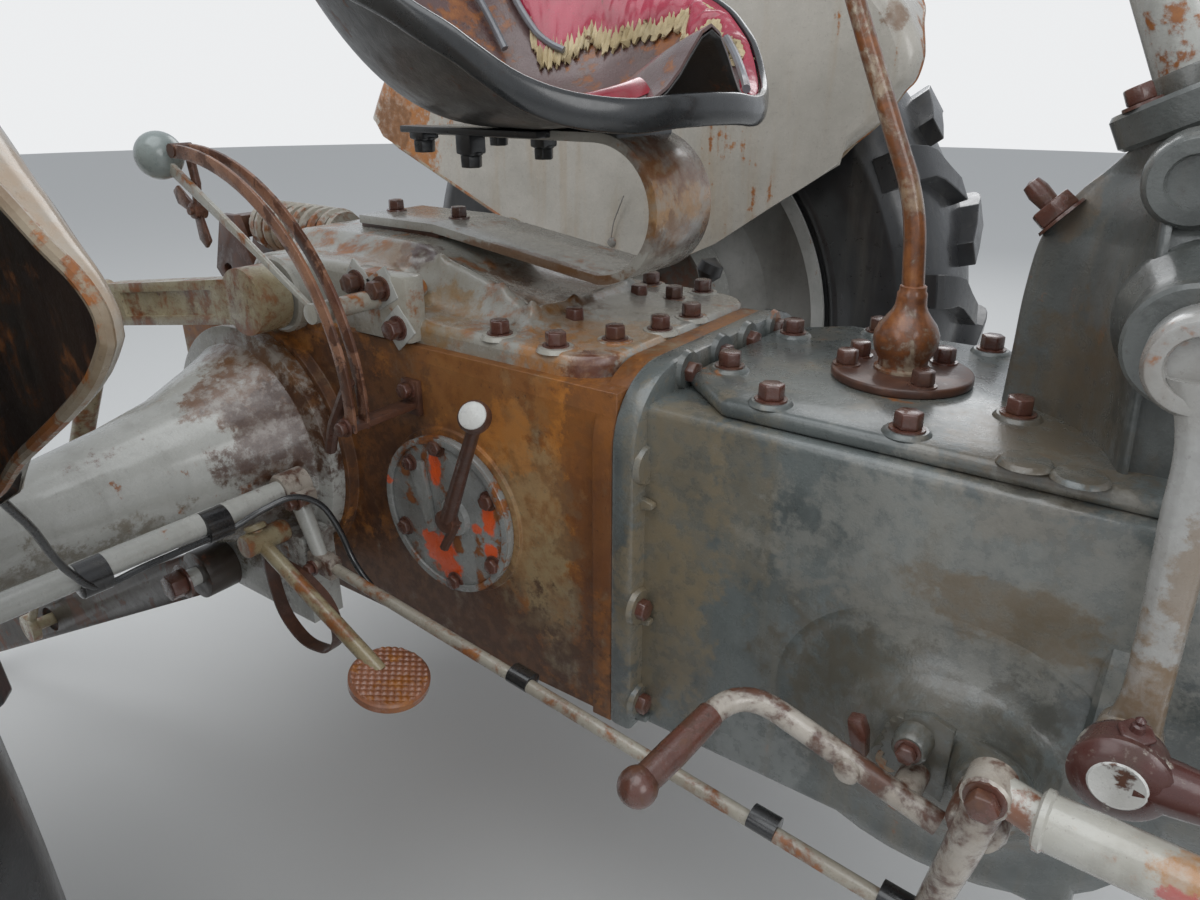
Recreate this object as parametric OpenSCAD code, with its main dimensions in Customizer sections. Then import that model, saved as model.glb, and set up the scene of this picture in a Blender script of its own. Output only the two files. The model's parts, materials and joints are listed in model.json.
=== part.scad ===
// Rear half of a vintage farm tractor, split from its engine at the clutch housing's front flange.
// Origin: centre of that flange, on the crankshaft's line. +X forward, +Y to the driver's left, +Z up.

/* [Gearbox] */
// Length of the gearbox, from the engine's flange back to the joint with the centre housing
gearbox_l = 560; // [480:5:640]
// Width of the gearbox's side walls
gearbox_w = 304; // [270:2:330]
// Depth of the gearbox's floor below the crankshaft's line
gearbox_bottom = 186; // [170:2:210]
// Height of the gearbox's open top above the crankshaft's line
gearbox_top = 150; // [130:2:165]
// Width of the arched joint flange
joint_w = 342; // [334:2:370]
// Height of the arched joint flange above the crankshaft's line
joint_top = 177; // [172:1:190]
// Thickness of the joint flange
joint_t = 25; // [16:1:34]
// Outer radius of the round flange at the engine's end
bell_flange_r = 198; // [194:1:230]
// Radius of the open bell inside the clutch housing
bell_bore_r = 150; // [130:1:160]
// Depth of the open bell
bell_depth = 130; // [90:5:160]
// Radius of the engine bolts' circle
bell_bolt_r = 183; // [176:1:186]
// Radius of an engine bolt's hole
bell_hole_r = 6.5; // [5:0.5:8]
// Radius of the gearbox's input shaft
input_shaft_r = 14; // [11:0.5:20]

/* [Gearbox cover] */
// Thickness of the gearbox's top cover
cover_t = 15; // [10:1:22]
// Place of the gear lever along the gearbox, from the engine's flange
lever_x = -373; // [-400:1:-330]
// Radius of the gear lever's ball housing
lever_ball_r = 27; // [22:1:32]
// Radius of the gear lever's plate
lever_plate_r = 59; // [50:1:66]
// Thickness of the gear lever's plate
lever_plate_t = 8; // [5:1:12]
// Radius of the gear lever's rod
lever_rod_r = 9; // [7:0.5:11]

/* [Steering] */
// Place of the drop arms' shaft along the gearbox
rocker_x = -170; // [-185:1:-150]
// Height of the drop arms' shaft
rocker_z = 266; // [255:1:280]
// Radius of the drop arms' shaft
rocker_r = 17.5; // [14:0.5:20]
// Distance from the centreline to the middle of a drop arm
drop_arm_y = 190; // [186:1:200]
// Length of a drop arm, from its shaft to its ball
drop_arm_l = 238; // [220:2:260]
// Angle of the steering column back from upright
column_tilt = 26; // [20:1:34]
// Length of the steering column, above the steering box
column_l = 440; // [380:5:500]
// Radius of the steering column's tube
column_r = 24; // [18:1:30]
// Radius of the steering wheel's rim, to its middle
wheel_rim_r = 205; // [180:5:230]

/* [Centre housing] */
// Length of the centre housing
centre_l = 680; // [620:5:740]
// Width of the centre housing
centre_w = 322; // [300:2:330]
// Height of the centre housing's top joint
centre_top = 157; // [150:1:168]
// Place of the rear axle's line along the tractor
axle_x = -1070; // [-1100:5:-1040]
// Height of the rear axle's line
axle_z = -5; // [-15:1:5]
// Radius of the axle flange's ring on the centre housing's side
ring_r = 152; // [140:1:160]
// Place of the round side covers along the tractor
side_cover_x = -765; // [-790:1:-740]
// Radius of a round side cover
side_cover_r = 86; // [74:1:92]
// Height of a round side cover's middle
side_cover_z = -15; // [-30:1:0]

/* [Lift] */
// Place of the lift shaft along the tractor
lift_x = -1004; // [-1030:1:-980]
// Height of the lift shaft
lift_z = 184; // [178:1:200]
// Radius of the lift shaft
lift_shaft_r = 25; // [20:0.5:28]
// Length of a lift arm
lift_arm_l = 248; // [220:2:270]
// Angle of the lowered lift arms below level
lift_arm_drop = 7; // [0:1:14]
// Distance from the centreline to a lift arm's pin
lift_arm_y = 245; // [235:1:255]
// Place of the lower links' front pins along the tractor
link_x = -1090; // [-1110:1:-1070]
// Height of the lower links' front pins
link_z = -150; // [-165:1:-140]
// Distance from the centreline to a lower link's front ball
link_y = 262; // [250:1:275]
// Length of a lower link
link_l = 830; // [760:5:880]
// Angle of the lowered links below level
link_drop = 27; // [20:1:29]
// Outward spread of a lower link over its length
link_spread = 80; // [40:5:100]
// Place of the lift rod's pin along a lower link
rod_pin_l = 480; // [440:5:520]
// Radius of the hole in a lower link's end ball
link_bore_r = 11.1; // [10:0.1:12]

/* [Axle and wheels] */
// Distance from the centreline to a brake's back plate
brake_y = 590; // [570:5:610]
// Radius of a brake's back plate
brake_r = 190; // [170:2:200]
// Radius of the axle housing's tube at its outer end
tube_r = 56; // [50:1:64]
// Distance from the centreline to the middle of a tyre
track_half = 770; // [760:5:790]
// Radius of a tyre, out to its lugs' tips
tyre_r = 590; // [560:5:620]
// Width of a tyre
tyre_w = 268; // [240:2:280]
// Radius of the rim's bead seat
rim_r = 356; // [340:1:370]
// Width of the rim
rim_w = 230; // [210:2:240]
// Height of a tread lug
lug_h = 30; // [18:1:34]
// Number of lugs in each half of the tread
lugs = 18; // [16:1:22]

/* [Wings] */
// Distance from the centreline to a wing's upright sheet
wing_y = 545; // [530:1:560]
// Radius of a wing over its tyre
wing_r = 690; // [670:5:710]
// Thickness of a wing's sheet
wing_t = 2.5; // [2:0.5:4]
// Width of a wing over its tyre
wing_w = 290; // [240:5:300]

/* [Seat] */
// Height of the seat spring's flat foot
spring_foot_z = 246; // [246:0.5:250]
// Width of the seat spring
spring_w = 100; // [80:2:120]
// Thickness of the seat spring
spring_t = 9; // [6:0.5:12]
// Outer radius of the seat spring's bend
spring_r = 70; // [60:1:80]
// Place of the seat's middle along the tractor
seat_x = -776; // [-800:1:-750]
// Half the seat's length
seat_half_l = 232; // [200:1:245]
// Half the seat's width
seat_half_w = 230; // [210:1:240]

/* [Hidden] */
$fn = 64;

// Running clearance between a turning piece and what carries it
run_clear = 0.3;
joint_x = -gearbox_l;
cover_z = gearbox_top + cover_t;
bell_neck_r = gearbox_w / 2 + 12;
bell_flange_t = 22;
centre_back = joint_x - centre_l;
right = -1;
left = 1;

// Rod between two points, with a radius at each end
module rod(p, q, r, r2 = undef) {
    d = q - p;
    len = norm(d);
    translate(p)
        rotate([0, acos(d.z / len), atan2(d.y, d.x)])
            cylinder(h = len, r1 = r, r2 = is_undef(r2) ? r : r2);
}

// Round bar through a list of points, with ball-shaped bends
module bent_bar(points, r) {
    for (i = [0 : len(points) - 2]) rod(points[i], points[i + 1], r);
    for (i = [1 : len(points) - 2]) translate(points[i]) sphere(r = r * 1.06);
}

// Cylinder along Y, from y0 to y1
module cyl_y(x, z, y0, y1, r) {
    translate([x, y0, z]) rotate([-90, 0, 0]) cylinder(h = y1 - y0, r = r);
}

// Cylinder along X, from x0 to x1
module cyl_x(x0, x1, z, r, r2 = undef) {
    translate([x0, 0, z]) rotate([0, 90, 0])
        cylinder(h = x1 - x0, r1 = r, r2 = is_undef(r2) ? r : r2);
}

// Box between two corners
module block(a, b) {
    translate(a) cube(b - a);
}

// Side outline drawn in X and Z, from y0 to y1
module side_plate(points, y0, y1) {
    translate([0, y1, 0]) rotate([90, 0, 0]) linear_extrude(y1 - y0) polygon(points);
}

// Arch-topped outline that the two housings share, as a slice of the given length along X
module arch_slice(x0, x1, half_w, bottom, top, corner_r) {
    translate([x0, 0, 0]) rotate([90, 0, 90]) linear_extrude(x1 - x0) {
        translate([-half_w, bottom]) square([2 * half_w, top - corner_r - bottom]);
        translate([-half_w + corner_r, bottom]) square([2 * (half_w - corner_r), top - bottom]);
        for (s = [-1, 1]) translate([s * (half_w - corner_r), top - corner_r]) circle(r = corner_r);
    }
}

// Gearbox

arch_corner = 70;
shelf_y = 200;
shelf = [[-290, -100], [-316, -44], [-300, -9], [-190, -9], [-176, -44], [-186, -100]];
module gearbox_housing() {
    color("#5f6866")
    difference() {
        union() {
            block([joint_x, -gearbox_w / 2, -gearbox_bottom], [-bell_depth - 20, gearbox_w / 2, gearbox_top]);
            arch_slice(joint_x, joint_x + joint_t, joint_w / 2, -gearbox_bottom, joint_top, arch_corner);
            cyl_x(-bell_depth - 40, -70, 0, bell_neck_r);
            cyl_x(-70.2, -bell_flange_t, 0, bell_neck_r, bell_flange_r - 12);
            cyl_x(-bell_flange_t, 0, 0, bell_flange_r);
            side_plate(shelf, -shelf_y, shelf_y);
            cyl_y(pedal_x, pedal_z, -boss_y, boss_y, 24);
        }
        block([-bell_depth - 41, -200, gearbox_top], [cover_front + 2, 200, 200]);
        cyl_x(-bell_depth, 1, 0, bell_bore_r);
        cyl_x(-bell_depth - 30, 1, 0, input_shaft_r);
        for (a = [22.5 : 45 : 337.5]) rotate([a, 0, 0]) translate([-bell_flange_t - 20, 0, bell_bolt_r])
            rotate([0, 90, 0]) cylinder(h = bell_flange_t + 21, r = bell_hole_r);
        for (s = [right, left])
            cyl_y(pedal_x, pedal_z, s > 0 ? gearbox_w / 2 - 30 : -boss_y - 1,
                  s > 0 ? boss_y + 1 : -gearbox_w / 2 + 30, pedal_shaft_r + run_clear);
    }
}

module drive_shafts() {
    color("#8b8680") {
        cyl_x(-bell_depth - 30, 60, 0, input_shaft_r);
        cyl_x(centre_back - pto_collar_l, centre_back + 20, pto_z, pto_collar_r);
        cyl_x(centre_back - pto_collar_l - pto_l, centre_back - pto_collar_l, pto_z, pto_r);
    }
}

pto_z = -112;
pto_r = 17.5;
pto_l = 76;
pto_collar_r = 22;
pto_collar_l = 46;

cover_front = -62;
cover_back = joint_x + joint_t + 5;
cover_half_w = 143;
module gearbox_cover() {
    color("#6a7370")
    translate([0, 0, gearbox_top]) linear_extrude(cover_t)
        polygon([
            [cover_back, -92], [cover_back + 60, -cover_half_w], [cover_front, -cover_half_w],
            [cover_front, cover_half_w], [cover_back + 60, cover_half_w], [cover_back, 92]
        ]);
}

module gear_lever_plate() {
    color("#7d5a4a")
    translate([lever_x, 0, cover_z]) cylinder(h = lever_plate_t, r = lever_plate_r);
}

lever_ball_z = cover_z + lever_plate_t + lever_ball_r - 5;
module gear_lever() {
    foot = [lever_x, 0, lever_ball_z + 12];
    bend = [lever_x - 7, 0, lever_ball_z + 108];
    top = [lever_x - 122, 0, lever_ball_z + 400];
    color("#9a6a50")
    difference() {
        union() {
            translate([lever_x, 0, lever_ball_z]) sphere(r = lever_ball_r);
            bent_bar([foot, bend, top], lever_rod_r);
            translate(top) sphere(r = 22);
        }
        translate([lever_x, 0, cover_z + lever_plate_t - 30]) cylinder(h = 30, r = lever_ball_r + 5);
    }
}

// Steering

// Steering box: seen from the side, half of it seen from above, and half of it seen from behind
box_front = -84;
box_side = [
    [-287, cover_z], [-286, 250], [-281, 297], [-262, 328], [-250, 338], [-246, 368], [-168, 408],
    [-118, 340], [box_front, 200], [box_front, cover_z]
];
box_plan = [
    [-290, 8], [-266, 16], [-246, 28], [-229, 43], [-210, 70], [-197, 100], [-192, 112], [box_front + 4, 112]
];
box_rise = [[116, cover_z - 5], [104, 290], [50, 372], [50, 430]];
box_side_boss_y = 96;
neck_flange_r = 54;
neck_z = 392;
neck_x = -204;
column_dir = [-sin(column_tilt), 0, cos(column_tilt)];
column_foot = [neck_x, 0, neck_z];
column_top = column_foot + column_l * column_dir;
rocker_boss_y = 168;
module steering_box() {
    color("#66706d")
    difference() {
        union() {
            intersection() {
                side_plate(box_side, -120, 120);
                linear_extrude(500) polygon(concat(
                    box_plan, [for (i = [len(box_plan) - 1 : -1 : 0]) [box_plan[i].x, -box_plan[i].y]]
                ));
                translate([-300, 0, 0]) rotate([90, 0, 90]) linear_extrude(240) polygon(concat(
                    box_rise, [for (i = [len(box_rise) - 1 : -1 : 0]) [-box_rise[i].x, box_rise[i].y]]
                ));
            }
            rod(column_foot - 16 * column_dir, column_foot + 9 * column_dir, neck_flange_r);
            cyl_y(rocker_x, rocker_z, -rocker_boss_y, rocker_boss_y, 40);
            cyl_y(-192, 347, -box_side_boss_y, box_side_boss_y, 30);
        }
        cyl_y(rocker_x, rocker_z, -rocker_boss_y - 1, rocker_boss_y + 1, rocker_r + run_clear);
        rod(column_foot - 60 * column_dir, column_foot + 60 * column_dir, column_r + 0.01);
    }
}

shaft_r = 11;
module steering_column() {
    color("#7b7f78")
    difference() {
        rod(column_foot - 60 * column_dir, column_top, column_r);
        rod(column_foot + 100 * column_dir, column_top + 10 * column_dir, shaft_r + run_clear);
    }
}

module steering_wheel() {
    hub_low = column_top + 1 * column_dir;
    color("#1d1d1f") {
        rod(column_top - 200 * column_dir, hub_low + 30 * column_dir, shaft_r);
        rod(hub_low, hub_low + 44 * column_dir, 34, 26);
        translate(hub_low + 36 * column_dir) rotate([0, -column_tilt, 0]) {
            rotate_extrude() translate([wheel_rim_r, 0]) circle(r = 12, $fn = 24);
            for (a = [90, 210, 330]) rotate([0, 0, a]) rod([20, 0, -12], [wheel_rim_r, 0, 0], 8);
        }
    }
}

ball_y = 231;
ball_z = rocker_z - drop_arm_l;
ball_x = rocker_x + 22;
ball_half = 17;
stud_r = 9;
module drop_arm(side) {
    hub_in = rocker_boss_y + 2;
    hub_out = drop_arm_y + 18;
    top = [rocker_x, rocker_z];
    low = [ball_x, ball_z];
    across = [top.y - low.y, low.x - top.x] / norm(top - low);
    color("#7f7a72") {
        cyl_y(rocker_x, rocker_z, min(side * 40, side * hub_out), max(side * 40, side * hub_out), rocker_r);
        cyl_y(rocker_x, rocker_z, min(side * hub_in, side * hub_out), max(side * hub_in, side * hub_out), 36);
        side_plate([top + 21 * across, low + 15 * across, low - 15 * across, top - 21 * across],
                   side * arm_low_y - arm_half, side * arm_low_y + arm_half);
        cyl_y(ball_x, ball_z, side * arm_low_y - arm_half, side * arm_low_y + arm_half, 19);
        rod([ball_x, side * arm_low_y, ball_z], [ball_x, side * (ball_y + ball_half - 6), ball_z], stud_r);
    }
}
arm_low_y = drop_arm_y + 9;
arm_half = 8;

link_thread_r = 9;
link_thread_l = 70;
module drag_link_end(side) {
    neck = [ball_x + 84, side * ball_y, ball_z];
    color("#7c4238")
    difference() {
        union() {
            cyl_y(ball_x, ball_z, side * ball_y - ball_half, side * ball_y + ball_half, 28);
            rod([ball_x, side * ball_y, ball_z], neck, 17, 13);
            rod(neck - [1, 0, 0], neck + [link_thread_l, 0, 0], link_thread_r);
        }
        rod([ball_x, side * (ball_y - ball_half - 1), ball_z],
            [ball_x, side * (ball_y + ball_half - 5.7), ball_z], stud_r + run_clear);
    }
}

// Centre housing and lift

module centre_housing() {
    color("#8a4a22")
    difference() {
        union() {
            block([centre_back, -centre_w / 2, -gearbox_bottom], [joint_x, centre_w / 2, centre_top]);
            arch_slice(joint_x - 22, joint_x, joint_w / 2 - 3, -gearbox_bottom, joint_top - 3, arch_corner);
            cyl_y(axle_x, axle_z, -centre_w / 2 - 14, centre_w / 2 + 14, ring_r);
            cyl_y(side_cover_x, side_cover_z, -centre_w / 2 - 4, centre_w / 2 + 4, side_cover_r + 6);
            block([centre_back - 40, -90, -180], [centre_back, 90, 60]);
        }
        cyl_x(centre_back - 41, centre_back + 20, pto_z, pto_collar_r + run_clear);
    }
}

cover_step_x = -700;
lift_cover_back = -1092;
module lift_cover() {
    color("#8d8c86")
    difference() {
        union() {
            side_plate([
                [joint_x - 24, centre_top], [joint_x - 24, 172], [-640, 177], [cover_step_x, 180],
                [-760, 206], [-872, 238], [-1050, 240], [lift_cover_back, 230], [lift_cover_back, centre_top]
            ], -105, 105);
            block([-1090, -centre_w / 2 + 10, centre_top], [joint_x - 30, centre_w / 2 - 10, 177]);
            side_plate([
                [-860, centre_top], [-860, 196], [-900, 222], [-1070, 222], [-1090, centre_top]
            ], -150, 150);
            cyl_y(lift_x, lift_z, -176, 176, 42);
            block([-1012, -spring_w / 2, 230], [-888, spring_w / 2, spring_foot_z]);
        }
        cyl_y(lift_x, lift_z, -200, 200, lift_shaft_r + run_clear);
        block([lift_x - 60, -250, 20], [lift_x + 60, 250, centre_top]);
    }
}

module side_covers() {
    color("#77776f")
    for (s = [right, left])
        cyl_y(side_cover_x, side_cover_z, s < 0 ? -centre_w / 2 - 14 : centre_w / 2 + 4,
              s < 0 ? -centre_w / 2 - 4 : centre_w / 2 + 14, side_cover_r);
}

module side_levers() {
    y0 = -centre_w / 2 - 14;
    y1 = centre_w / 2 + 14;
    pivot = [side_cover_x + 2, y0 - 12, side_cover_z + 2];
    tip = [side_cover_x + 18, y0 - 62, side_cover_z + 98];
    far_pivot = [side_cover_x, y1 + 13, side_cover_z];
    far_elbow = [side_cover_x + 30, y1 + 40, side_cover_z + 90];
    far_tip = [side_cover_x + 70, y1 + 60, side_cover_z + 190];
    color("#7a6a5c") {
        cyl_y(pivot.x, pivot.z, y0 - 20, y0, 13);
        rod(pivot, tip, 9, 7);
        translate(tip) sphere(r = 15);
        cyl_y(far_pivot.x, far_pivot.z, y1, y1 + 24, 15);
        bent_bar([far_pivot, far_elbow, far_tip], 8);
        translate(far_tip) sphere(r = 17);
    }
}

// Rear axle: the outline of one housing, as distance from the centreline and radius
// Columns: distance, radius
trumpet_rows = [
    [centre_w / 2 + 14, 0], [centre_w / 2 + 14, 146], [193, 146], [196, 126], [230, 110], [290, 86],
    [350, 72], [450, tube_r], [560, tube_r], [575, tube_r + 6], [575, 112], [brake_y - 2, 112],
    [brake_y - 2, 0]
];
link_pin_r = 11;
axle_r = 32;
module axle_housing(side) {
    color("#a3a39b")
    difference() {
        union() {
            translate([axle_x, 0, axle_z]) rotate([side > 0 ? -90 : 90, 0, 0])
                rotate_extrude() polygon([for (row = trumpet_rows) [row[1], row[0]]]);
            block([link_x - 34, side > 0 ? 197 : -link_y + 24, link_z - 30],
                  [link_x + 160, side > 0 ? link_y - 24 : -197, link_z + 80]);
            cyl_y(link_x, link_z, side > 0 ? 200 : -link_y - 44, side > 0 ? link_y + 44 : -200, link_pin_r);
        }
        cyl_y(axle_x, axle_z, side > 0 ? 480 : -600, side > 0 ? 600 : -480, axle_r + run_clear);
    }
}

module brake_back_plates() {
    color("#8d8c86")
    for (s = [right, left]) difference() {
        cyl_y(axle_x, axle_z, s > 0 ? brake_y - 2 : -brake_y - 4, s > 0 ? brake_y + 4 : -brake_y + 2,
              brake_r);
        cyl_y(axle_x, axle_z, s > 0 ? 500 : -700, s > 0 ? 700 : -500, 70);
    }
}

cross_x = -940;
cross_z = -8;
cross_y = 218;
cross_r = 12.5;
module brake_cross_shafts() {
    color("#b9b6ac")
    for (s = [right, left]) {
        cyl_y(cross_x, cross_z, s > 0 ? cross_y : -brake_y + 2, s > 0 ? brake_y - 2 : -cross_y, cross_r);
        rod([cross_x, s * rod_back.y, cross_z], [rod_back.x, s * rod_back.y, rod_back.z], 11, 8);
        translate([rod_back.x, s * rod_back.y, rod_back.z]) sphere(r = 8.8);
    }
}

pedal_x = -213;
pedal_z = -31;
pedal_shaft_r = 16;
rod_back = [-905, 232, -92];
rod_front = [-236, 240, -156];
module brake_rods() {
    color("#a5a096")
    for (s = [right, left])
        rod([rod_back.x + 9, s * rod_back.y, rod_back.z],
            [rod_front.x - 10.5, s * rod_front.y, rod_front.z], 6.5);
}

pedal_y = 274;
boss_y = 232;
module pedal_arm(side, y, reach) {
    heel = [pedal_x + 8, side * y, pedal_z + 37];
    knee = [pedal_x + 210, side * (y + 14), pedal_z + 44];
    toe = [pedal_x + reach, side * (y + 50), pedal_z + 120];
    rod([pedal_x, side * y, pedal_z], heel, 18, 18);
    translate(heel) sphere(r = 20.6);
    rod(heel, knee, 20, 16);
    rod(knee, toe, 15, 13);
    translate(knee) sphere(r = 16.6);
    translate(toe + [0, 0, 14]) rotate([0, -28, 0]) translate([-38, -30, -4]) cube([76, 60, 8]);
}

module pull_arm(side) {
    low = [rod_front.x, side * rod_front.y, rod_front.z];
    rod([pedal_x, side * pedal_y, pedal_z], low, 13, 10);
    translate(low) sphere(r = 10.2);
}

module pedals() {
    color("#9c968b")
    for (side = [right, left]) {
        rod([pedal_x, side * (gearbox_w / 2 - 30), pedal_z], [pedal_x, side * (pedal_y + 24), pedal_z],
            pedal_shaft_r);
        rod([pedal_x, side * (boss_y + 1), pedal_z], [pedal_x, side * (pedal_y + 20), pedal_z], 25);
        pedal_arm(side, pedal_y, 300);
        pull_arm(side);
    }
}

module parking_brake_lever() {
    color("#7e4a36") {
        bent_bar([[-404, -358, -30], [-385, -252, -7], [-243, -250, -58]], 9);
        translate([-404, -358, -30]) sphere(r = 14);
        cyl_y(-272, -47.4, -263, -shelf_y, 13);
    }
}

module diff_lock_pedal() {
    color("#7d5238") {
        cyl_y(-958, -64, -292, -link_y + 24, 13);
        rod([-958, -272, -64], [-777, -268, -166], 8.5);
        translate([-769, -268, -170]) rotate([0, 14, 0]) cylinder(h = 12, r = 42);
    }
}

// Seat

spring_mid = [-664, spring_foot_z + 9 - 38 + spring_r];
module seat_spring() {
    foot_top = spring_foot_z + spring_t;
    low = [spring_mid.x, spring_mid.y - spring_r];
    color("#8c8577")
    {
        side_plate([
            [-1005, spring_foot_z], [-1005, foot_top], [-884, foot_top], [low.x + 2, low.y + spring_t - 0.2],
            [low.x + 2, low.y + 0.2], [-886, spring_foot_z]
        ], -spring_w / 2, spring_w / 2);
        translate([spring_mid.x, -spring_w / 2, spring_mid.y]) rotate([-90, 0, 0]) rotate([0, 0, -90])
            rotate_extrude(angle = 180) translate([spring_r - spring_t, 0]) square([spring_t, spring_w]);
        block([-880, -spring_w / 2, spring_mid.y + spring_r - spring_t + 0.2],
              [spring_mid.x + 2, spring_w / 2, spring_mid.y + spring_r - 0.2]);
    }
}

pan_z = spring_foot_z + 9 - 38 + 2 * spring_r;
pan_wall = 3;
module seat_dish(shrink, lift, top_lift) {
    hull() {
        translate([seat_x, 0, pan_z + lift]) scale([seat_half_l - 62 - shrink, seat_half_w - 62 - shrink, 1])
            cylinder(h = 1, r = 1, $fn = 48);
        translate([seat_x, 0, pan_z + 92 + top_lift]) rotate([0, 13, 0])
            scale([seat_half_l - shrink, seat_half_w - shrink, 1]) cylinder(h = 1, r = 1, $fn = 48);
    }
}
module seat_pan() {
    color("#2a2a2b")
    difference() {
        seat_dish(0, 0, 0);
        seat_dish(pan_wall, pan_wall, pan_wall);
    }
}
module seat_cushion() {
    color("#a3243b")
    difference() {
        seat_dish(pan_wall + 1, pan_wall + 1, pan_wall);
        translate([seat_x - 400, -400, pan_z + 42]) cube([800, 800, 200]);
    }
}

// Wings: outlines drawn about the axle's line, with the arc over the tyre turning down at the front
function arc(cx, cz, r, a0, a1, n) = [for (i = [0 : n]) let (a = a0 + (a1 - a0) * i / n)
    [cx + r * cos(a), cz + r * sin(a)]];
corner_r = 90;
corner_x = 425;
corner_z = sqrt(pow(wing_r - corner_r, 2) - pow(corner_x, 2));
wing_back_angle = 151;
lip_r = 45;
lip_x = corner_x + corner_r - lip_r;
lip_z = 345;
lip_turn = -63;
lip_foot = [210, 146];
function wing_edge(inset) = concat(
    arc(0, 0, wing_r - inset, wing_back_angle, atan2(corner_z, corner_x), 32),
    arc(corner_x, corner_z, corner_r - inset, atan2(corner_z, corner_x), 0, 6),
    arc(lip_x, lip_z, lip_r - inset, 0, lip_turn, 4),
    [lip_foot + [-0.45 * inset, 0.89 * inset]]
);
wing_back = wing_r * cos(wing_back_angle);
lip_w = 34;
module wing(side) {
    edge = wing_edge(0);
    under = wing_edge(wing_t);
    color("#b7b2a4") {
        translate([axle_x, 0, axle_z]) {
            side_plate(concat(edge, [[90, 96], [-90, 96], [-200, 140], [wing_back + 40, 295]]),
                       side > 0 ? wing_y : -wing_y - wing_t, side > 0 ? wing_y + wing_t : -wing_y);
            intersection() {
                side_plate(concat(edge, [for (i = [len(under) - 1 : -1 : 0]) under[i]]),
                           side > 0 ? wing_y : -wing_y - wing_w, side > 0 ? wing_y + wing_w : -wing_y);
                union() {
                    translate([0, 0, corner_z - 4]) linear_extrude(wing_r) polygon([
                        [wing_back - 10, side * (wing_y - 1)], [wing_back - 10, side * (wing_y + wing_w + 1)],
                        [240, side * (wing_y + wing_w + 1)], [400, side * (wing_y + 205)],
                        [470, side * (wing_y + 110)], [corner_x + corner_r - 18, side * (wing_y + lip_w)],
                        [corner_x + corner_r + 5, side * (wing_y + lip_w)],
                        [corner_x + corner_r + 5, side * (wing_y - 1)]
                    ]);
                    block([wing_back - 10, side > 0 ? wing_y - 1 : -wing_y - wing_w - 1, 200],
                          [0, side > 0 ? wing_y + wing_w + 1 : -wing_y + 1, wing_r]);
                    block([-1, side > 0 ? wing_y - 1 : -wing_y - lip_w, 100],
                          [corner_x + corner_r + 5, side > 0 ? wing_y + lip_w : -wing_y + 1, wing_r]);
                }
            }
        }
        block([axle_x - 30, side > 0 ? wing_y + 1 : -575, axle_z + 72],
              [axle_x + 30, side > 0 ? 575 : -wing_y - 1, axle_z + 104]);
    }
}

// Lamp cable: its middle line from the wing, along the brake's cross shaft and down to the brake rod
cable_r = 3.5;
cable_sides = 8;
cable_steps = 3;
cable_line = [
    [-798, -553, 173.2], [-799, -550, 160], [-808, -543, 144], [-824, -532, 124],
    [-850, -514, 91], [-884, -494, 46], [-908, -476, 12], [-925, -452, -19], [-927.8, -408, -19.9],
    [-927.8, -364, -19.9], [-926, -322, -19], [-914, -287, -6], [-904, -257, -1], [-894, -233, -17],
    [-885, -220, -51], [-872, -217, -85], [-845, -218.5, -106], [-800, -225.5, -113.5],
    [-740, -227.3, -116.2], [-680, -228.1, -122.1], [-620, -228.8, -128], [-550, -229.7, -134.9],
    [-480, -230.5, -141.8], [-410, -231.4, -148.7], [-350, -232.1, -154.6], [-296, -232.8, -159.9]
];
function spline(p, i, t) = let (
    a = p[max(i - 1, 0)], b = p[i], c = p[i + 1], d = p[min(i + 2, len(p) - 1)]
) 0.5 * (2 * b + t * (c - a) + t * t * (2 * a - 5 * b + 4 * c - d) + t * t * t * (3 * b - a - 3 * c + d));
cable_rings = concat(
    [for (i = [0 : len(cable_line) - 2], k = [0 : cable_steps - 1]) spline(cable_line, i, k / cable_steps)],
    [cable_line[len(cable_line) - 1]]
);
// A direction that no stretch of the cable runs along
cable_ref = [0.6, -0.5, 0.62];
module lamp_cable() {
    last = len(cable_rings) - 1;
    color("#151516")
    polyhedron(
        points = [for (i = [0 : last]) let (
            along = cable_rings[min(i + 1, last)] - cable_rings[max(i - 1, 0)],
            u = cross(along, cable_ref) / norm(cross(along, cable_ref)), v = cross(along, u) / norm(along)
        ) for (k = [0 : cable_sides - 1]) cable_rings[i]
            + cable_r * (cos(k * 360 / cable_sides) * u + sin(k * 360 / cable_sides) * v)],
        faces = concat(
            [[for (k = [cable_sides - 1 : -1 : 0]) k]],
            [[for (k = [0 : cable_sides - 1]) last * cable_sides + k]],
            [for (i = [0 : last - 1], k = [0 : cable_sides - 1]) let (
                a = i * cable_sides + k, b = i * cable_sides + (k + 1) % cable_sides
            ) each [[a, b, b + cable_sides], [a, b + cable_sides, a + cable_sides]]]
        )
    );
}

// Hydraulic controls

quad_x = -1034;
quad_z = 111;
quad_r = 226;
quad_y = 238;
module quadrant() {
    color("#8b5a42") {
        for (y = [-quad_y - 8, -quad_y + 8])
            translate([quad_x, y + 2, quad_z]) rotate([90, 0, 0]) linear_extrude(4) {
                difference() {
                    circle(r = quad_r + 7, $fn = 96);
                    circle(r = quad_r - 7, $fn = 96);
                    translate([-400, -400]) square([400, 800]);
                    translate([-400, -400]) square([800, 380]);
                }
            }
        block([-824, -quad_y - 10, 96], [-800, -centre_w / 2, 122]);
    }
}

module lift_control_lever() {
    color("#8a8d84") {
        side_plate([[-846, 194], [-854, 206], [-1070, 333], [-1077, 321]], -quad_y - 2, -quad_y + 2);
        translate([-1076, -quad_y, 330]) rotate([90, 0, 0]) sphere(r = 24);
        cyl_y(-850, 200, -quad_y - 9, -105.2, 10);
    }
}

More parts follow.
